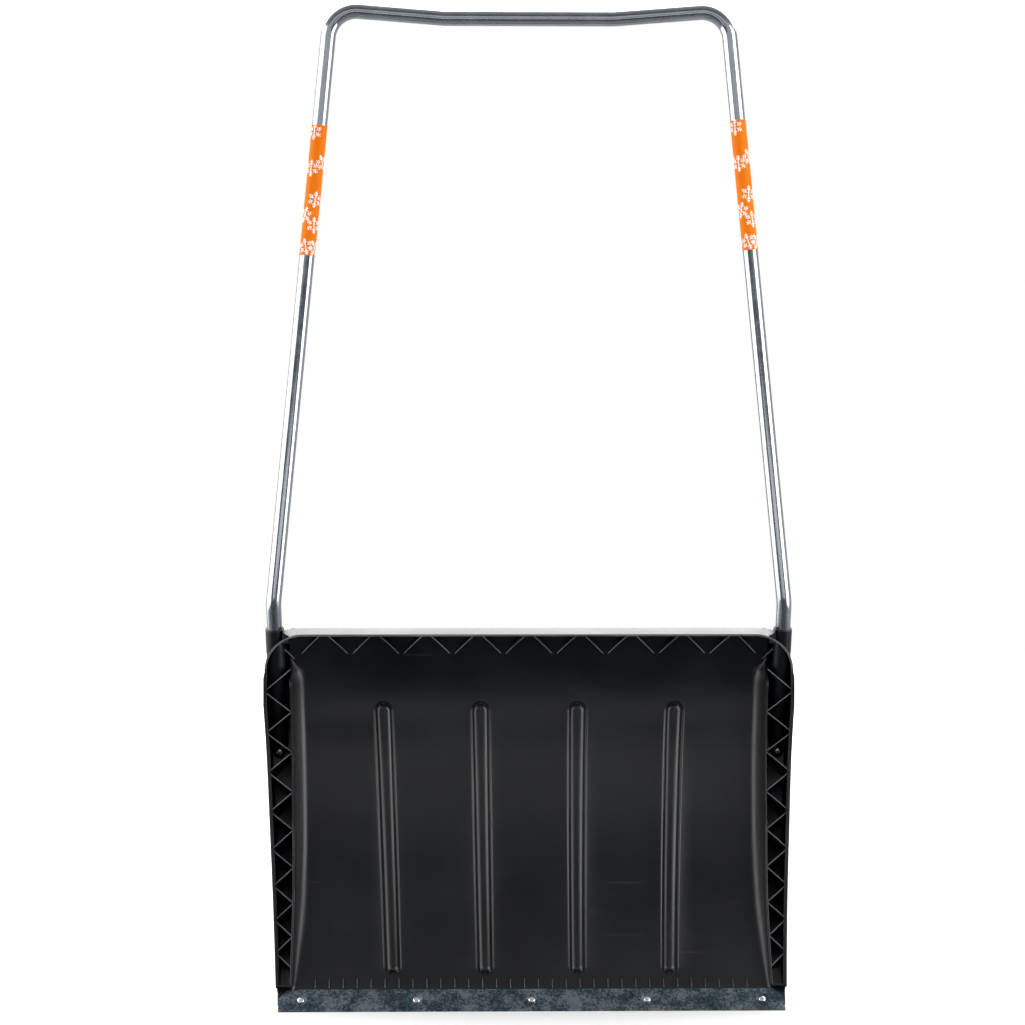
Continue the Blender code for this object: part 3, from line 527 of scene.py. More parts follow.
def round_corners(outline, radius, steps=3):
    """Round the corners of a polygon of 2-D points, each by at most a third of its shorter side."""
    rounded = []
    for index, corner in enumerate(outline):
        here = Vector(corner)
        before = Vector(outline[index - 1]) - here
        after = Vector(outline[(index + 1) % len(outline)]) - here
        reach = min(radius, before.length / 3.0, after.length / 3.0)
        start = here + before.normalized() * reach
        end = here + after.normalized() * reach
        for step in range(steps + 1):
            part = step / steps
            rounded.append(tuple(start * (1 - part) ** 2 + here * 2 * part * (1 - part) + end * part**2))
    return rounded


def x_frame(across, forward, height, side=1.0):
    """Matrix whose local Z points along X, outwards on the named side."""
    matrix = Matrix.Rotation(radians(90.0) * side, 4, "Y")
    matrix.translation = world(across, forward, height)
    return matrix


# ---------------------------------------------------------------- the scoop's moulding

def bead_line(rank, down):
    """(centre, half width) of a bead at a distance down the face."""
    part = (down - BEAD_TOP) / (BEAD_END - BEAD_TOP)
    centre = rank * (BEAD_SPACING_TOP + (BEAD_SPACING_END - BEAD_SPACING_TOP) * part)
    return centre, 0.5 * (BEAD_WIDTH_TOP + (BEAD_WIDTH_END - BEAD_WIDTH_TOP) * part)


BEAD_RANKS = (-1.5, -0.5, 0.5, 1.5)
BEAD_RIDGE = 0.78  # part of the bead's half width that its round ridge takes up
GROOVE = 0.0010
BEAD_SHOULDER = 1.22
BEAD_WELT = 0.0005
TOP_FILLET = 0.0075


def face_height(across, down):
    """Relief of the face: beads with a fine groove round them, and the fillet under the top wall."""
    height = 0.0
    for rank in BEAD_RANKS:
        centre, half = bead_line(rank, down)
        first = BEAD_TOP + bead_line(rank, BEAD_TOP)[1]
        last = BEAD_END - bead_line(rank, BEAD_END)[1]
        nearest = min(max(down, first), last)
        reach = hypot(across - centre, down - nearest) / half
        if reach < BEAD_RIDGE:
            height += (BEAD_HEIGHT + GROOVE) * sqrt(1.0 - (reach / BEAD_RIDGE) ** 2) - GROOVE
        elif reach < 1.0:
            height -= GROOVE * smooth_step((1.0 - reach) / (1.0 - BEAD_RIDGE) * 1.6)
        elif reach < BEAD_SHOULDER:
            height += BEAD_WELT * sin(pi * (reach - 1.0) / (BEAD_SHOULDER - 1.0)) ** 2
    rise = TOP_FILLET - (down - RIM_WALL)
    if rise > 0.0:
        height += TOP_FILLET - sqrt(max(TOP_FILLET ** 2 - min(rise, TOP_FILLET) ** 2, 0.0))
    return height


def face_columns(down):
    """Where the face's columns run at a distance down: close over the beads, wide between them."""
    offsets = (0.0, 0.16, 0.32, 0.46, 0.58, 0.67, 0.73, 0.77, 0.80, 0.86, 0.93, 1.0, 1.05, 1.11, 1.17, 1.22)
    offsets = [-offset for offset in reversed(offsets[1:])] + list(offsets)
    edge = tray_half(down) - wall_sweep(down)
    columns = [-edge]
    for rank in BEAD_RANKS:
        centre, half = bead_line(rank, down)
        cluster = [centre + half * offset for offset in offsets]
        columns += spread(columns[-1], cluster[0], 5)[1:-1] + cluster
    columns += spread(columns[-1], edge, 5)[1:]
    return columns


def wall_sweep(down):
    """How far in from the inner wall the face starts to curve up into it."""
    return min(WALL_SWEEP, max(inner_height(down), 0.0004))


SWEEP_STEPS = 14


def tray_ring(down):
    """Section through the face and both inner walls, as one closed outline."""
    half = tray_half(down)
    top = max(inner_height(down), 0.0005)
    sweep = wall_sweep(down)
    edge = min(EDGE, top * 0.3)
    low = -channel_drop(down) * smooth_step((down - 0.5 * RIM_WALL) / RIM_WALL) - WALL - 0.0001
    front = [(x, face_height(x, down)) for x in face_columns(down)]
    lift = front[-1][1]
    outside = half + WALL
    right = []
    for sine, cosine in quarter(SWEEP_STEPS)[1:]:
        right.append((half - sweep * (1.0 - sine), (top - edge) * (1.0 - cosine)))
    rounding = [(edge * (1.0 - cosine), top - edge * (1.0 - sine)) for sine, cosine in quarter(3)]
    right += [(half + across, out) for across, out in rounding[1:]]
    right += [(outside - across, out) for across, out in reversed(rounding)]
    floors = [lift] * SWEEP_STEPS + [lift + 0.0002] * (len(right) - SWEEP_STEPS)
    right = [(x, max(out, floor)) for (x, out), floor in zip(right, floors)]
    right += [(outside, low), (half, low), (half, -WALL - 0.002), (half - 0.002, -WALL)]
    back = [(x, -WALL) for x in spread(half - 0.002, -(half - 0.002), 12)[1:-1]]
    left = [(-x, out) for x, out in reversed(right)]
    return [place(x, down, out) for x, out in front + right + back + left]


def add_tray(bm):
    stops = [RIM_WALL * 0.5, RIM_WALL] + spread(RIM_WALL, RIM_WALL + TOP_FILLET, 8)[1:]
    stops += spread(0.0145, INNER_START, 6)
    stops += spread(INNER_START, INNER_FULL, 12)[1:]
    stops += spread(INNER_FULL, BEAD_TOP - 0.006, 6)[1:]
    stops += spread(BEAD_TOP - 0.006, BEAD_TOP + 0.015, 14)[1:]
    stops += spread(BEAD_TOP + 0.015, BEAD_END - 0.013, 76)[1:]
    stops += spread(BEAD_END - 0.013, BEAD_END + 0.005, 12)[1:]
    stops += spread(BEAD_END + 0.005, TRAY_LENGTH, 12)[1:]
    add_loft(bm, [tray_ring(down) for down in stops])


RIM_EDGE_FACES = (14, 15, 16)  # of the rim's outline, on its front edge


def rim_path():
    """(across, down, inward) round the outer wall: up the left, over the top, down the right."""
    half_top = HALF_WIDTH - LIP - CORNER_RADIUS
    right = []
    for sine, cosine in quarter(36):
        direction = Vector((sine, -cosine))
        right.append((Vector((half_top, CORNER_RADIUS)) + direction * CORNER_RADIUS, -direction))
    downs = spread(CORNER_RADIUS, SIDE_STRAIGHT, 14)[1:] + spread(SIDE_STRAIGHT, TRAY_LENGTH, 50)[1:]
    for down in downs:
        slope = (side_line(down + 0.001) - side_line(down - 0.001)) / 0.002
        right.append((Vector((side_line(down) - LIP, down)), Vector((-1.0, slope)).normalized()))
    left = []
    for point, inward in reversed(right):
        left.append((Vector((-point.x, point.y)), Vector((-inward.x, inward.y))))
    middle = [(Vector((x, 0.0)), Vector((0.0, 1.0))) for x in spread(-half_top, half_top, 14)[1:-1]]
    return left + middle + right


def add_rim(bm):
    """The outer wall, with its rounded front edge and the lip along the sides."""
    path = rim_path()
    rings = []
    for point, inward in path:
        down = min(max(point.y, 0.0), TRAY_LENGTH)
        high = rim_height(down)
        beside = smooth_step((abs(point.x) - INNER_TOP + WALL) / (4.0 * WALL))
        low = -channel_drop(down) * beside - WALL
        lip = LIP * smooth_step((down - LIP_START + 0.006) / 0.012)
        outline = [(0.0, low), (0.0, high - LIP_DEPTH), (-lip, high - LIP_DEPTH + lip * 0.6), (-lip, high)]
        outline += [(RIM_WALL, high), (RIM_WALL, low)]
        ring = []
        for offset, out in round_corners(outline, EDGE):
            spot = point + inward * offset
            ring.append(place(spot.x, spot.y, out))
        rings.append(ring)
    for index, face in enumerate(add_loft(bm, rings)):
        in_corner = path[index // len(ring)][0].y < CORNER_RADIUS
        if in_corner and index % len(ring) in RIM_EDGE_FACES:
            # These faces take the lighter second material: painted highlight along the rim's front edge
            face.material_index = 1


CHANNEL_LAP = 0.0008  # how far the channel's floor runs into the inner wall


def add_channel(bm, side):
    """Floor of one channel, with fillets to both walls, and the wall that ends it."""
    rings = []
    steps = spread(0.012, CORNER_RADIUS, 12) + spread(CORNER_RADIUS, TRAY_LENGTH - 0.001, 50)[1:]
    for down in steps:
        near = inner_half(down) + WALL - CHANNEL_LAP
        far = wall_middle(down)
        level = -channel_drop(down)
        fillet = min(0.003, (far - near) * 0.2)
        face = far - RIM_WALL * 0.5
        section = [(near, level - WALL + 0.0001), (far, level - WALL + 0.0001)]
        section.append((far, level + fillet + 0.001))
        bulges = [(fillet * (1.0 - cosine), fillet * (1.0 - sine)) for sine, cosine in quarter(3)]
        section += [(face - across, level + up) for across, up in bulges]
        section += [(near + CHANNEL_LAP + across, level + up) for across, up in reversed(bulges)]
        section.append((near, level + fillet + 0.001))
        rings.append([place(side * x, down, out) for x, out in section])
    add_loft(bm, rings)
    end = []
    for down in (TRAY_LENGTH - RIM_WALL, TRAY_LENGTH - 0.0004):
        near, far = inner_half(down) + WALL * 0.4, wall_middle(down)
        section = [(near, -channel_drop(down) - WALL + 0.0002), (far, -channel_drop(down) - WALL + 0.0002)]
        section += [(far, RIM_END - 0.0006), (near, RIM_END - 0.0006)]
        end.append([place(side * x, down, out) for x, out in section])
    add_loft(bm, end)


RIB_DRAFT = 1.25  # a rib's foot against its top
RIB_TOP_FACES = (3, 4, 5)  # of the rib's section


def add_rib(bm, start, end, low, high, thickness=RIB):
    """A thin upright plate between two (across, down) points; low and high give its out at each."""
    first, last = Vector(start), Vector(end)
    along = (last - first).normalized()
    normal = Vector((-along.y, along.x))
    half, edge = thickness * 0.5, thickness * 0.35
    rings = []
    for part in spread(0.0, 1.0, 6):
        spot = first.lerp(last, part)
        bottom = low[0] + (low[1] - low[0]) * part
        top = high[0] + (high[1] - high[0]) * part
        right = [(half * RIB_DRAFT, bottom), (half, top - edge)]
        right += [(half - edge * 0.4, top - edge * 0.3), (half - edge, top)]
        section = [(-right[0][0], bottom)] + right + [(-offset, out) for offset, out in reversed(right[1:])]
        rings.append([place(*(spot + normal * offset), out) for offset, out in section])
    for index, face in enumerate(add_loft(bm, rings)):
        if index % len(section) in RIB_TOP_FACES:
            # The rib's top faces take the lighter second material: painted highlight along its edge
            face.material_index = 1


def truss_nodes(side):
    """Corners of the zig-zag: on the inner wall and on the outer wall by turns."""
    nodes = []
    for index in range(TRUSS_STEPS + 1):
        down = TRUSS_START + TRUSS_STEP * index - TRUSS_SHORTENING * index * index
        inside = inner_half(down) + WALL * 0.5
        outside = side_line(down) - LIP - RIM_WALL * 0.5
        nodes.append((side * (outside if index % 2 else inside), down))
    return nodes


def add_trusses(bm):
    for _, side in SIDES:
        nodes = truss_nodes(side)
        for index, (start, end) in enumerate(zip(nodes, nodes[1:])):
            split = 0.0020
            start, end = Vector(start), Vector(end)
            if index % 2 == 0:
                end.y -= split
            else:
                start.y += split
            lows = [-channel_drop(point.y) - WALL * 0.5 for point in (start, end)]
            highs = [max(rim_height(point.y) - RIB_RECESS, 0.004) for point in (start, end)]
            add_rib(bm, start, end, lows, highs)
        start, end = [(side * across, down) for across, down in (CORNER_RIB_START, CORNER_RIB_END)]
        add_rib(bm, start, end, (-CHANNEL_DROP - WALL * 0.5, -WALL * 0.5), (RIM_TOP - RIB_RECESS, 0.0008))


def add_gussets(bm):
    for pair in range(GUSSET_PAIRS):
        centre = (pair - (GUSSET_PAIRS - 1) / 2.0) * GUSSET_PITCH
        for way in (-1.0, 1.0):
            start = (centre + way * GUSSET_APEX, RIM_WALL * 0.5)
            end = (centre + way * (GUSSET_APEX + GUSSET_RUN), GUSSET_DROP)
            add_rib(bm, start, end, (-WALL * 0.5, -WALL * 0.5), (RIM_TOP - RIB_RECESS, 0.0006))


def add_apron(bm):
    rings = []
    for down in spread(TRAY_LENGTH - 0.004, PLATE_END - 0.001, 6) + [PLATE_END]:
        half = side_line(down) - LIP - 0.0003
        pinch = 0.0008 if down == PLATE_END else 0.0
        corners = ((-half, -WALL + 0.0003), (half, -WALL + 0.0003), (half, -0.0003), (-half, -0.0003))
        shrunk = [(x, out + (pinch if out < -0.001 else -pinch)) for x, out in corners]
        rings.append([place(x, down, out) for x, out in round_corners(shrunk, 0.0006)])
    add_loft(bm, rings)


def add_ticks(bm):
    """Short ribs over the wear strip."""
    for index in range(TICKS):
        across = (index - (TICKS - 1) / 2.0) * TICK_PITCH
        rings = []
        for part in spread(0.0, 1.0, 8):
            down = TICK_TOP + (TICK_END - TICK_TOP) * part
            swell = sqrt(max(1.0 - (2.0 * part - 1.0) ** 6, 0.05))
            ring = [(across - 0.0014 * swell, -0.0006), (across + 0.0014 * swell, -0.0006)]
            ring += [(across + x, out) for x, out in arc(20.0, 160.0, 4, 0.0011 * swell, 0.0024 * swell)]
            rings.append([place(x, down, out) for x, out in ring])
        add_loft(bm, rings)


def tube_point(side, height):
    """A point on the tube's middle line in and just above a socket."""
    rise = height - SOCKET_TOP
    across = SOCKET_HALF + rise * tan(SOCKET_SPLAY)
    return world(side * across, SOCKET_MOUTH_FORWARD + rise * tan(SOCKET_LEAN), height)


def socket_axis(side):
    """Local Z up a socket's axis, local -Y to the front, origin in the middle of the mouth."""
    mouth = tube_point(side, SOCKET_TOP)
    return tilted_frame((tube_point(side, SOCKET_TOP + 1.0) - mouth).normalized(), mouth)


def along_socket(height):
    slope = hypot(tan(SOCKET_LEAN), tan(SOCKET_SPLAY))
    return (height - SOCKET_TOP) * hypot(1.0, slope)


MOUTH_TILT = tan(radians(9.0))  # the mouth slopes down to the front


def socket_mesh(side):
    """Socket cylinder with a sloping, rounded mouth; its foot is closed and carries a rivet seat."""
    axis = socket_axis(side)
    foot = along_socket(SOCKET_BOTTOM)
    floor = foot + 0.003
    bore = TUBE_RADIUS + GAP
    rows = [(0.003, foot, 0.0), (SOCKET_RADIUS - 0.002, foot, 0.0)]
    rows.append((SOCKET_RADIUS - 0.0006, foot + 0.0006, 0.0))
    rows += [(SOCKET_RADIUS, foot + 0.002, 0.0)]
    rows += [(SOCKET_RADIUS, height, 0.0) for height in spread(foot + 0.01, -0.02, 24)]
    rows += [(SOCKET_RADIUS, -0.0055, 0.7), (SOCKET_RADIUS, -0.0040, 1.0)]
    rows += [(SOCKET_RADIUS - 0.0001, -0.0034, 1.0), (SOCKET_RADIUS - 0.0004, -0.0030, 1.0)]
    rows += [(bore + 0.0008, -0.0028, 1.0), (bore + 0.0002, -0.0032, 1.0)]
    rows += [(bore, -0.0040, 1.0), (bore, -0.02, 0.0), (bore, floor, 0.0), (0.003, floor, 0.0)]
    bm = bmesh.new()
    rings = []
    for radius, height, tilt in rows:
        rings.append([axis @ Vector((x, y, height + y * MOUTH_TILT * tilt)) for x, y in circle(radius, 64)])
    add_loft(bm, rings)
    return bm


def apply_boolean(target, tool):
    """Cut for good, and remove the tool."""
    step = target.modifiers.new("cut", "BOOLEAN")
    step.operation = "DIFFERENCE"
    step.solver = "EXACT"
    step.object = tool
    bpy.context.view_layer.update()
    graph = bpy.context.evaluated_depsgraph_get()
    mesh = bpy.data.meshes.new_from_object(target.evaluated_get(graph))
    target.modifiers.clear()
    old = target.data
    target.data = mesh
    bpy.data.meshes.remove(old)
    bpy.data.objects.remove(tool)


def build_sockets():
    for name, side in SIDES:
        mesh = socket_mesh(side)
        socket = piece(f"tube_socket_{name}", mesh, PLASTIC, SCOOP_BODY, sharp=40.0)
        axis = socket_axis(side)
        foot = along_socket(NOTCH_HEIGHT)
        half = NOTCH_SIZE * 0.5
        arch = [(-half, -half), (half, -half)] + arc(0.0, 180.0, 12, half, half)
        rings = [[axis @ Vector((x, -reach, foot + y)) for x, y in arch] for reach in (0.0, 0.03)]
        bm = bmesh.new()
        add_loft(bm, rings)
        apply_boolean(socket, mesh_object("window", bm))
        shade(socket.data, 40.0)
        build_shoulder(name, side)


SHOULDER_WIDTH = 0.0085
SHOULDER_HEIGHT = 0.0105


def build_shoulder(name, side):
    """Web that carries the socket's mouth down to the top wall in a hollow curve."""
    edge = SOCKET_HALF - SOCKET_RADIUS + 0.0015
    start, base = SOCKET_TOP - 0.0020, SOCKET_TOP - 0.0240
    front, back = SOCKET_MOUTH_FORWARD + 0.0125, SOCKET_MOUTH_FORWARD - 0.0130
    rings = []
    for sine, cosine in quarter(12):
        across = side * (edge - SHOULDER_WIDTH * (1.0 - cosine))
        height = start - SHOULDER_HEIGHT * sine
        corners = ((front, height), (front, base), (back, base), (back, height))
        rings.append([world(across, forward, level) for forward, level in corners])
    bm = bmesh.new()
    add_loft(bm, rings)
    piece(f"socket_web_{name}", bm, PLASTIC, SCOOP_BODY)


def axle_point():
    forward, height, _ = profile_point(FACE_LENGTH)
    forward -= REAR_LINE
    contact = forward - WHEEL_REACH * cos(GROUND_SLOPE), WHEEL_REACH * sin(GROUND_SLOPE)
    forward = contact[0] + WHEEL_RADIUS * sin(GROUND_SLOPE)
    return forward, contact[1] + WHEEL_RADIUS * cos(GROUND_SLOPE)


def bracket_frame():
    """Local Z from the axle straight to the face, and the distance to the face's back."""
    forward, height = axle_point()
    axle = world(0.0, forward, height)
    nearest = min(spread(0.15, 0.35, 400), key=lambda down: (place(0.0, down, 0.0) - axle).length)
    return tilted_frame(face_normal(nearest), axle), (place(0.0, nearest, -WALL) - axle).length


PAD_MARGIN = 0.003


def add_pads(bm):
    matrix, reach = bracket_frame()
    for _, side in SIDES:
        ends = sorted((side * BRACKET_EAR, side * (BRACKET_EAR - BRACKET_WIDTH)))
        low, high = ends[0] - PAD_MARGIN, ends[1] + PAD_MARGIN
        half = BRACKET_LENGTH * 0.5 + PAD_MARGIN
        rounded = round_corners([(low, -half), (high, -half), (high, half), (low, half)], 0.006, 5)
        middle = Vector(((low + high) * 0.5, 0.0))
        levels = [(0.0, 0.0015), (0.0, 0.0012 - PAD_DEPTH)]
        levels += [(0.0004, 0.0004 - PAD_DEPTH), (0.0014, -PAD_DEPTH)]
        rings = []
        for shrink, depth in levels:
            scaled = [middle + (Vector(point) - middle) * (1.0 - shrink / half) for point in rounded]
            rings.append([matrix @ Vector((point.x, point.y, reach + depth)) for point in scaled])
        add_loft(bm, rings)


def build_scoop():
    bm = bmesh.new()
    add_tray(bm)
    add_rim(bm)
    add_channel(bm, 1.0)
    add_channel(bm, -1.0)
    add_apron(bm)
    add_ticks(bm)
    add_pads(bm)
    moulding = piece("scoop_moulding", bm, PLASTIC, SCOOP_BODY, ("scoop",), 30.0)
    # Second slot: the lighter plastic that paints the highlight on the rim's and ribs' edges
    moulding.data.materials.append(EDGE_HIGHLIGHT_PAINT)
    bm = bmesh.new()
    add_trusses(bm)
    add_gussets(bm)
    ribs = piece("scoop_ribs", bm, PLASTIC, SCOOP_BODY)
    ribs.data.materials.append(EDGE_HIGHLIGHT_PAINT)
    build_sockets()


# ---------------------------------------------------------------- wear strip and rivets

DIMPLE_RADIUS = 0.0082
DIMPLE_DEPTH = 0.0009
SHANK_RADIUS = 0.0024


def strip_relief(across, down):
    """The strip is pressed in round each rivet."""
    nearest = round(across / STRIP_RIVET_PITCH)
    nearest = min(max(nearest, -2), 2) * STRIP_RIVET_PITCH
    reach = hypot(across - nearest, down - STRIP_RIVET_DOWN) / DIMPLE_RADIUS
    return -DIMPLE_DEPTH * smooth_step((1.0 - reach) / 0.35)


def build_strip():
    columns = []
    for index in range(-2, 3):
        centre = index * STRIP_RIVET_PITCH
        cluster = [centre + DIMPLE_RADIUS * 1.1 * offset for offset in spread(-1.0, 1.0, 22)]
        columns += cluster if not columns else spread(columns[-1], cluster[0], 8)[1:-1] + cluster
    columns = spread(-STRIP_HALF, columns[0], 6)[:-1] + columns + spread(columns[-1], STRIP_HALF, 6)[1:]
    rings = []
    for x in columns:
        inset = max(abs(x) - (STRIP_HALF - STRIP_CHAMFER_ACROSS), 0.0) / STRIP_CHAMFER_ACROSS
        downs = spread(STRIP_TOP + STRIP_CHAMFER_DOWN * inset, FACE_LENGTH, 34)
        front = [place(x, down, GAP + STRIP_THICKNESS + strip_relief(x, down)) for down in downs]
        rings.append(front + [place(x, down, GAP) for down in reversed(downs)])
    bm = bmesh.new()
    add_loft(bm, rings)
    piece("wear_strip_plate", bm, GALVANISED, SCOOP_BODY, ("wear_strip",))


def dome_outline(seat, radius, height, mandrel):
    """A round rivet head on its seat, with the snapped stem in its middle if asked."""
    outline = [(radius, seat), (radius, seat + height * 0.18)]
    outline += [(x, seat + height * 0.18 + y) for x, y in arc(15.0, 80.0, 6, radius, height * 0.82)]
    if mandrel:
        outline += [(radius * 0.30, seat + height), (radius * 0.28, seat + height * 0.80)]
        outline += [(radius * 0.20, seat + height * 0.78), (radius * 0.18, seat + height * 0.98)]
    return outline + [(0.0002, seat + height)]


def build_strip_rivets():
    top = 2.0 * GAP + STRIP_THICKNESS
    back = -WALL - GAP
    for index in range(5):
        spot = place((index - 2) * STRIP_RIVET_PITCH, STRIP_RIVET_DOWN, 0.0)
        matrix = tilted_frame(face_normal(STRIP_RIVET_DOWN), spot)
        head = dome_outline(top - DIMPLE_DEPTH, HEAD_RADIUS, HEAD_HEIGHT + DIMPLE_DEPTH * 0.4, False)
        shop = [(0.0004, back - 0.0014), (HEAD_RADIUS * 0.7, back - 0.0012)]
        shop += [(HEAD_RADIUS * 0.8, back - 0.0006), (HEAD_RADIUS * 0.8, back)]
        shop += [(SHANK_RADIUS, back), (SHANK_RADIUS, top - DIMPLE_DEPTH)]
        turned_piece(f"strip_rivet_{index + 1}", matrix, shop + head, 40, RIVET_STEEL)


def build_handle_rivets():
    """Blind rivets through the sockets and the tube, from the front."""
    seat = SOCKET_RADIUS + GAP
    inside = TUBE_RADIUS - TUBE_WALL - GAP
    for name, side in SIDES:
        matrix = socket_axis(side) @ Matrix.Translation((0.0, 0.0, along_socket(HANDLE_RIVET_HEIGHT)))
        matrix = matrix @ Matrix.Rotation(radians(90.0), 4, "X")
        outline = [(0.0004, inside - 0.0035), (0.0030, inside - 0.0035), (0.0036, inside - 0.0012)]
        outline += [(SHANK_RADIUS, inside - 0.0004), (SHANK_RADIUS, seat)]
        outline += dome_outline(seat, HEAD_RADIUS, HEAD_HEIGHT * 1.4, True)
        turned_piece(f"handle_rivet_{name}", matrix, outline, 40, RIVET_STEEL)


# ---------------------------------------------------------------- handle

KINK = tube_point(1.0, KINK_HEIGHT)
ARM_FORWARD = DEPTH_CENTRE - KINK.y


def arm_half(height):
    return KINK.x - (height - KINK_HEIGHT) * tan(ARM_SPLAY)


def arc_points(before, corner, after, radius, count):
    back = (before - corner).normalized()
    ahead = (after - corner).normalized()
    half_turn = (pi - back.angle(ahead)) * 0.5
    centre = corner + (back + ahead).normalized() * (radius / cos(half_turn))
    start = corner + back * radius * tan(half_turn)
    end = corner + ahead * radius * tan(half_turn)
    first, last = (start - centre).normalized(), (end - centre).normalized()
    return [centre + first.slerp(last, step / count) * radius for step in range(count + 1)]


def handle_path():
    slope = tan(BAR_SLOPE)
    run = (arm_half(BAR_HEIGHT) - BAR_FLAT_HALF) / (1.0 + slope * tan(ARM_SPLAY))
    foot = tube_point(1.0, SOCKET_BOTTOM + 0.0045)
    corner = world(BAR_FLAT_HALF + run, ARM_FORWARD, BAR_HEIGHT + run * slope)
    crease = world(BAR_FLAT_HALF, ARM_FORWARD, BAR_HEIGHT)
    middle = world(0.0, ARM_FORWARD, BAR_HEIGHT)
    half = [foot]
    half += arc_points(foot, KINK, corner, 0.080, 10)
    half += arc_points(KINK, corner, crease, BEND_RADIUS, 32)
    half += arc_points(corner, crease, middle, 0.080, 8)
    other = [Vector((-point.x, point.y, point.z)) for point in half]
    return other + list(reversed(half))


def tube_rings(path, radius, sides):
    rings = []
    normal = Vector((0.0, 1.0, 0.0))
    for index, point in enumerate(path):
        ahead = path[min(index + 1, len(path) - 1)] - point
        behind = point - path[max(index - 1, 0)]
        tangent = (ahead.normalized() + behind.normalized()).normalized()
        side = tangent.cross(normal).normalized()
        normal = side.cross(tangent).normalized()
        rings.append([point + side * x + normal * y for x, y in circle(radius, sides)])
    return rings


def build_handle():
    path = handle_path()
    bm = bmesh.new()
    outer = tube_rings(path, TUBE_RADIUS, 48)
    inner = tube_rings(path, TUBE_RADIUS - TUBE_WALL, 48)
    add_loft(bm, outer + list(reversed(inner)), closed=True)
    piece("handle_tube_fine", bm, TUBE_STEEL, SCOOP_BODY, ("handle_tube",))


# ---------------------------------------------------------------- snowflake bands

FLAKE_RADIUS = 0.0118
# (degrees round the arm from the front, distance below the band's top); the back has the same
FLAKES = (
    (-32, 0.006), (58, 0.049), (-30, 0.058), (24, 0.102),
    (-46, 0.124), (34, 0.138), (62, 0.170), (-14, 0.169),
)
FLAKE_LIFT = 0.00005


def add_stroke(bm, matrix, radius, start, end, width):
    """A thin raised stroke on the arm; points are (distance round, distance up)."""
    first, last = Vector(start), Vector(end)
    along = (last - first).normalized()
    normal = Vector((-along.y, along.x)) * width * 0.5
    rings = []
    for part in spread(0.0, 1.0, 3):
        spot = first.lerp(last, part)
        ring = []
        for edge, lift in ((-1.0, 0.0), (1.0, 0.0), (1.0, FLAKE_LIFT * 2.0), (-1.0, FLAKE_LIFT * 2.0)):
            point = spot + normal * edge
            angle = point.x / radius
            reach = radius + lift
            ring.append(matrix @ Vector((reach * sin(angle), -reach * cos(angle), point.y)))
        rings.append(ring)
    add_loft(bm, rings)


def add_flake(bm, matrix, radius, turn, height, size):
    """A six-armed flake: each arm has two pairs of barbs."""
    centre = Vector((radians(turn) * radius, height))
    for arm in range(6):
        angle = radians(60.0 * arm + turn)
        direction = Vector((cos(angle), sin(angle)))
        add_stroke(bm, matrix, radius, centre, centre + direction * size, size * 0.12)
        for reach, length in ((0.45, 0.30), (0.72, 0.22)):
            root = centre + direction * size * reach
            for way in (-1.0, 1.0):
                barb = angle + way * radians(55.0)
                tip = root + Vector((cos(barb), sin(barb))) * size * length
                add_stroke(bm, matrix, radius, root, tip, size * 0.10)


def build_bands():
    for name, side in SIDES:
        matrix = Matrix.Rotation(-side * ARM_SPLAY, 4, "Y")
        matrix.translation = world(side * arm_half(BAND_CENTRES[name]), ARM_FORWARD, BAND_CENTRES[name])
        half = BAND_LENGTH * 0.5
        inside, outside = TUBE_RADIUS + 0.0001, TUBE_RADIUS + 0.0004
        bm = bmesh.new()
        outline = [(inside, -half)] + [(outside, height) for height in spread(-half, half, 12)]
        outline.append((inside, half))
        add_turned(bm, matrix, outline, 64, True)
        piece(f"orange_band_{name}", bm, ORANGE_FILM, SCOOP_BODY, (f"snowflake_band_{name}",))
        bm = bmesh.new()
        for turn, drop in FLAKES:
            size = FLAKE_RADIUS if drop < half * 1.9 else FLAKE_RADIUS * 0.9
            add_flake(bm, matrix, outside - FLAKE_LIFT, turn, half - drop - 0.004, size)
            add_flake(bm, matrix, outside - FLAKE_LIFT, turn + 180.0, half - drop - 0.004, size)
        piece(f"snowflakes_{name}", bm, WHITE_INK, SCOOP_BODY)


# ---------------------------------------------------------------- brackets and axle

def build_brackets():
    matrix, reach = bracket_frame()
    seat = reach - PAD_DEPTH - GAP
    half = BRACKET_LENGTH * 0.5
    for name, side in SIDES:
        outer = side * (BRACKET_EAR - 0.0005)
        inner = side * (BRACKET_EAR - BRACKET_WIDTH)
        crook = outer - side * BRACKET_STEEL
        under = seat - BRACKET_STEEL
        outline = [(inner, seat), (inner, under), (crook, under), (crook, under - 0.010)]
        outline += [(outer, under - 0.010), (outer, seat)]
        rounded = round_corners(outline, 0.0035, 5)
        bm = bmesh.new()
        stations = (-half, -half + 0.0004, half - 0.0004, half)
        add_loft(bm, [[matrix @ Vector((x, y, z)) for x, z in rounded] for y in stations])
        ear_half = half - 0.0002
        ear = [(-ear_half, seat - 0.006), (ear_half, seat - 0.006), (ear_half, under - 0.006)]
        ear += [(y, -z) for y, z in arc(15.0, 165.0, 25, EAR_TIP_RADIUS, EAR_TIP_RADIUS)]
        ear.append((-ear_half, under - 0.006))
        rings = []
        layers = ((-BRACKET_STEEL, 0.985), (-BRACKET_STEEL + 0.0004, 1.0), (-0.0004, 1.0), (0.0, 0.985))
        for x, shrink in layers:
            rings.append([matrix @ Vector((outer + side * x, y * shrink, z)) for y, z in ear])
        add_loft(bm, rings)
        node = f"axle_bracket_{name}"
        piece(f"{node}_fine", bm, BRACKET_FINISH, SCOOP_BODY, (node,))


SCREW_HEAD_RADIUS = 0.0048


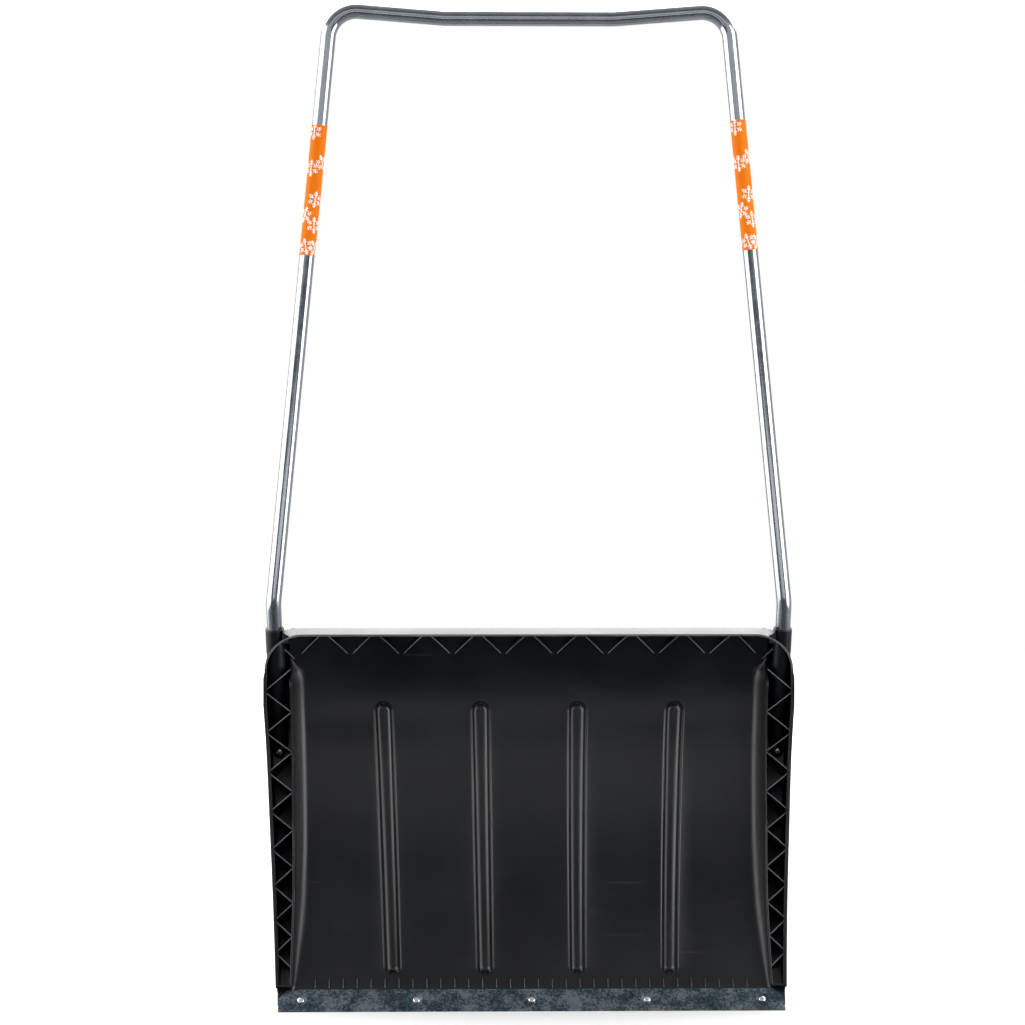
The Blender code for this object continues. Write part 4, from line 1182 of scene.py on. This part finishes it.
def build_bracket_screws():
    """Pan-head screws with a round socket, two to a bracket."""
    matrix, reach = bracket_frame()
    pad = reach - PAD_DEPTH
    seat = pad - 2.0 * GAP - BRACKET_STEEL
    head = SCREW_HEAD_RADIUS
    outline = [(0.0003, pad + 0.007), (0.0025, pad + 0.006), (0.0025, seat)]
    outline += [(head, seat), (head, seat - 0.0008)]
    outline += [(x, seat - 0.0008 - y) for x, y in arc(20.0, 60.0, 2, head, 0.0022)]
    outline += [(0.0022, seat - 0.0028), (0.0020, seat - 0.0012), (0.0003, seat - 0.0010)]
    for name, side in SIDES:
        middle = side * (BRACKET_EAR - BRACKET_STEEL - (BRACKET_WIDTH - BRACKET_STEEL) * 0.5)
        for level, up in (("upper", 1.0), ("lower", -1.0)):
            here = matrix @ Matrix.Translation((middle, SCREW_SPACING * 0.5 * up, 0.0))
            turned_piece(f"bracket_screw_{name}_{level}", here, outline, 36, RIVET_STEEL)


def cap_outline(bore, start):
    """A push cap: a thin collar under a dome."""
    outline = [(bore, start), (CAP_RADIUS, start), (CAP_RADIUS, start + 0.0015)]
    outline.append((CAP_RADIUS - 0.0006, start + 0.0018))
    dome = arc(0.0, 70.0, 6, CAP_RADIUS - 0.0008, CAP_LENGTH - 0.0022)
    outline += [(max(x, bore), start + 0.0022 + y) for x, y in dome]
    return outline + [(bore, start + CAP_LENGTH)]


def build_axle():
    forward, height = axle_point()
    outline = sleeve(0.0003, AXLE_RADIUS, -AXLE_HALF, AXLE_HALF, 0.0008)
    turned_piece("axle", x_frame(0.0, forward, height), outline, 40, AXLE_FINISH)
    bore = AXLE_RADIUS + GAP
    low = HUB_WIDTH * 0.5 + GAP
    high = low + WASHER_THICKNESS
    washer = sleeve(bore, WASHER_RADIUS, low, high, 0.0003)
    cap = cap_outline(bore, high + GAP)
    for name, side in SIDES:
        matrix = x_frame(side * WHEEL_CENTRE, forward, height, side)
        for level, way in (("inner", -1.0), ("outer", 1.0)):
            outline = [(radius, way * out) for radius, out in washer]
            node = f"axle_washer_{name}_{level}"
            turned_piece(node, matrix, outline, 48, BRACKET_FINISH, hollow=True)
        turned_piece(f"axle_cap_{name}", matrix, cap, 48, BRACKET_FINISH, hollow=True)


# ---------------------------------------------------------------- wheels

TREAD_LUGS = 30
LUG_DEPTH = 0.0016
SPOKES = 6
SPOKE_HEIGHTS = (0.0105, 0.0125)


def tyre_mesh(matrix):
    """Solid tyre: rounded shoulders, a centre groove and lugs cut across each side of it."""
    half = WHEEL_WIDTH * 0.5
    rim = WHEEL_RADIUS - TYRE_DEPTH + GAP
    section = [(rim, -half, 0.0), (rim + 0.003, -half, 0.0), (WHEEL_RADIUS - 0.0045, -half + 0.0004, 0.0)]
    section += [(WHEEL_RADIUS - 0.0022, -half + 0.0020, 0.6), (WHEEL_RADIUS - 0.0008, -half + 0.0045, 1.0)]
    section += [(WHEEL_RADIUS - 0.0002, -0.0022, 1.0), (WHEEL_RADIUS - 0.0018, -0.0014, 0.0)]
    section += [(radius, -height, lug) for radius, height, lug in reversed(section)]
    bm = bmesh.new()
    steps = TREAD_LUGS * 4
    rings = []
    for radius, height, lug in section:
        ring = []
        for index in range(steps):
            phase = (index + (2 if height > 0.0 else 0)) % 4
            cut = LUG_DEPTH * lug if phase == 0 else 0.0
            angle = 2.0 * pi * index / steps
            out = radius - cut
            ring.append(matrix @ Vector((out * cos(angle), out * sin(angle), height)))
        rings.append(ring)
    add_loft(bm, rings, closed=True)
    return bm


def hub_mesh(matrix):
    """Moulded hub: rim, web and boss in one turning, with ribs on both sides of the web."""
    half = WHEEL_WIDTH * 0.5
    hub_half = HUB_WIDTH * 0.5
    rim = WHEEL_RADIUS - TYRE_DEPTH
    bore = BUSH_RADIUS + GAP
    outline = [(bore, -hub_half), (HUB_RADIUS - 0.001, -hub_half), (HUB_RADIUS, -hub_half + 0.001)]
    outline += [(HUB_RADIUS + 0.0006, -0.0060), (HUB_RADIUS + 0.0030, -0.0030), (rim - 0.0065, -0.0030)]
    outline += [(rim - 0.0040, -0.0060), (rim - 0.0036, -half + 0.0006)]
    outline += [(rim - 0.0030, -half), (rim, -half)]
    outline += [(radius, -height) for radius, height in reversed(outline)]
    bm = bmesh.new()
    add_turned(bm, matrix, outline, 72, True)
    low, high = SPOKE_HEIGHTS
    stations = [(HUB_RADIUS - 0.0015, high), (HUB_RADIUS + 0.008, low)]
    stations += [(rim - 0.0035, low), (rim - 0.0015, high)]
    for index in range(SPOKES):
        turned = matrix @ Matrix.Rotation(2.0 * pi * index / SPOKES, 4, "Z")
        for way in (-1.0, 1.0):
            rings = []
            for radius, top in stations:
                right = [(0.0016, 0.002), (0.0012, top - 0.0005), (0.0008, top)]
                left = [(-offset, level) for offset, level in reversed(right[1:])]
                section = [(-0.0016, 0.002)] + right + left
                rings.append([turned @ Vector((radius, offset, way * level)) for offset, level in section])
            add_loft(bm, rings)
    return bm


def build_wheels():
    forward, height = axle_point()
    hub_half = HUB_WIDTH * 0.5
    for name, side in SIDES:
        matrix = x_frame(side * WHEEL_CENTRE, forward, height, side)
        body = WHEEL_BODIES[name]
        piece(f"tyre_{name}_fine", tyre_mesh(matrix), RUBBER, body, (f"tyre_{name}",), 28.0)
        node = f"wheel_{name}"
        piece(f"wheel_hub_{name}", hub_mesh(matrix), WHEEL_PLASTIC, body, (node,))
        bush = sleeve(AXLE_RADIUS + GAP, BUSH_RADIUS, -hub_half, hub_half, 0.0004)
        turned_piece(f"wheel_bush_{name}", matrix, bush, 48, NYLON, body, True)


# ---------------------------------------------------------------- stage, light and camera

CAMERA_DISTANCE = 3.80
CAMERA_HEIGHT = 0.6705
CAMERA_YAW = radians(-1.1)
FIELD = 1.4637  # width of the view at CAMERA_DISTANCE
VIEW_SHIFT = -0.016  # of the view's width


def build_floor():
    bm = bmesh.new()
    half, front, back = 9.0, -6.0, 9.0
    corners = ((-half, front), (half, front), (half, back), (-half, back))
    bm.faces.new([bm.verts.new((x, y, 0.0)) for x, y in corners])
    floor = mesh_object("floor", bm)
    paint, _, _ = principled("floor_paint", (0.93, 0.93, 0.93), 0.9)
    floor.data.materials.append(paint)
    floor.visible_glossy = False  # or the glossy black face would mirror it as a grey veil


def area_light(name, position, target, size, power):
    data = bpy.data.lights.new(name, "AREA")
    data.shape = "RECTANGLE"
    data.size, data.size_y = size
    data.energy = power
    light = add_object(name, data)
    light.location = position
    light.rotation_euler = (Vector(target) - Vector(position)).to_track_quat("-Z", "Y").to_euler()


def build_lights():
    """Softboxes on both sides, high and low in front, and a large one that whitens the floor behind."""
    area_light("softbox_left", (-2.0, -0.35, 1.20), (0.0, -0.2, 0.80), (3.0, 2.2), 50.0)
    area_light("softbox_right", (1.95, -0.95, 1.20), (0.0, -0.1, 0.80), (1.6, 2.2), 42.0)
    area_light("softbox_front", (0.0, -3.0, 2.05), (0.0, 0.0, 0.5), (4.5, 1.5), 11.0)
    area_light("softbox_low", (0.0, -3.95, 0.55), (0.0, 0.0, 0.45), (3.5, 0.5), 6.0)
    area_light("backdrop_light", (0.0, 5.6, 4.6), (0.0, 5.4, 0.0), (12.0, 8.0), 1150.0)


def build_world():
    """A dim studio with a white backdrop straight behind the object."""
    room = bpy.data.worlds.new("studio")
    room.use_nodes = True
    tree = room.node_tree
    direction = add_node(tree, "TexCoord", {}).outputs["Generated"]
    split = add_node(tree, "SeparateXYZ", {"Vector": direction})
    behind = remap(tree, split.outputs["Y"], 0.0, 1.0, -1.0, 1.0)
    dim, mid, side, white = (0.022, 0.028, 0.042), (0.13, 0.135, 0.15), (0.45,) * 3, (1.0,) * 3
    stops = ((0.07, dim), (0.16, mid), (0.60, side), (0.93, side), (0.965, white))
    set_inputs(tree, tree.nodes["Background"], {"Color": ramp(tree, behind, stops), "Strength": 1.0})
    bpy.context.scene.world = room


def build_camera():
    data = bpy.data.cameras.new("camera")
    data.sensor_width = 36.0
    data.lens = 36.0 * CAMERA_DISTANCE / FIELD
    camera = add_object("camera", data)
    target = world(0.0, 0.0, CAMERA_HEIGHT)
    offset = Vector((sin(CAMERA_YAW), -cos(CAMERA_YAW), 0.0)) * CAMERA_DISTANCE
    camera.location = target + offset
    camera.rotation_euler = (radians(90.0), 0.0, CAMERA_YAW)
    data.shift_x = VIEW_SHIFT
    bpy.context.scene.camera = camera


build_scoop()
build_strip()
build_strip_rivets()
build_handle()
build_handle_rivets()
build_bands()
build_brackets()
build_bracket_screws()
build_axle()
build_wheels()
build_floor()
build_lights()
build_world()
build_camera()
bpy.context.scene.view_settings.view_transform = "Standard"
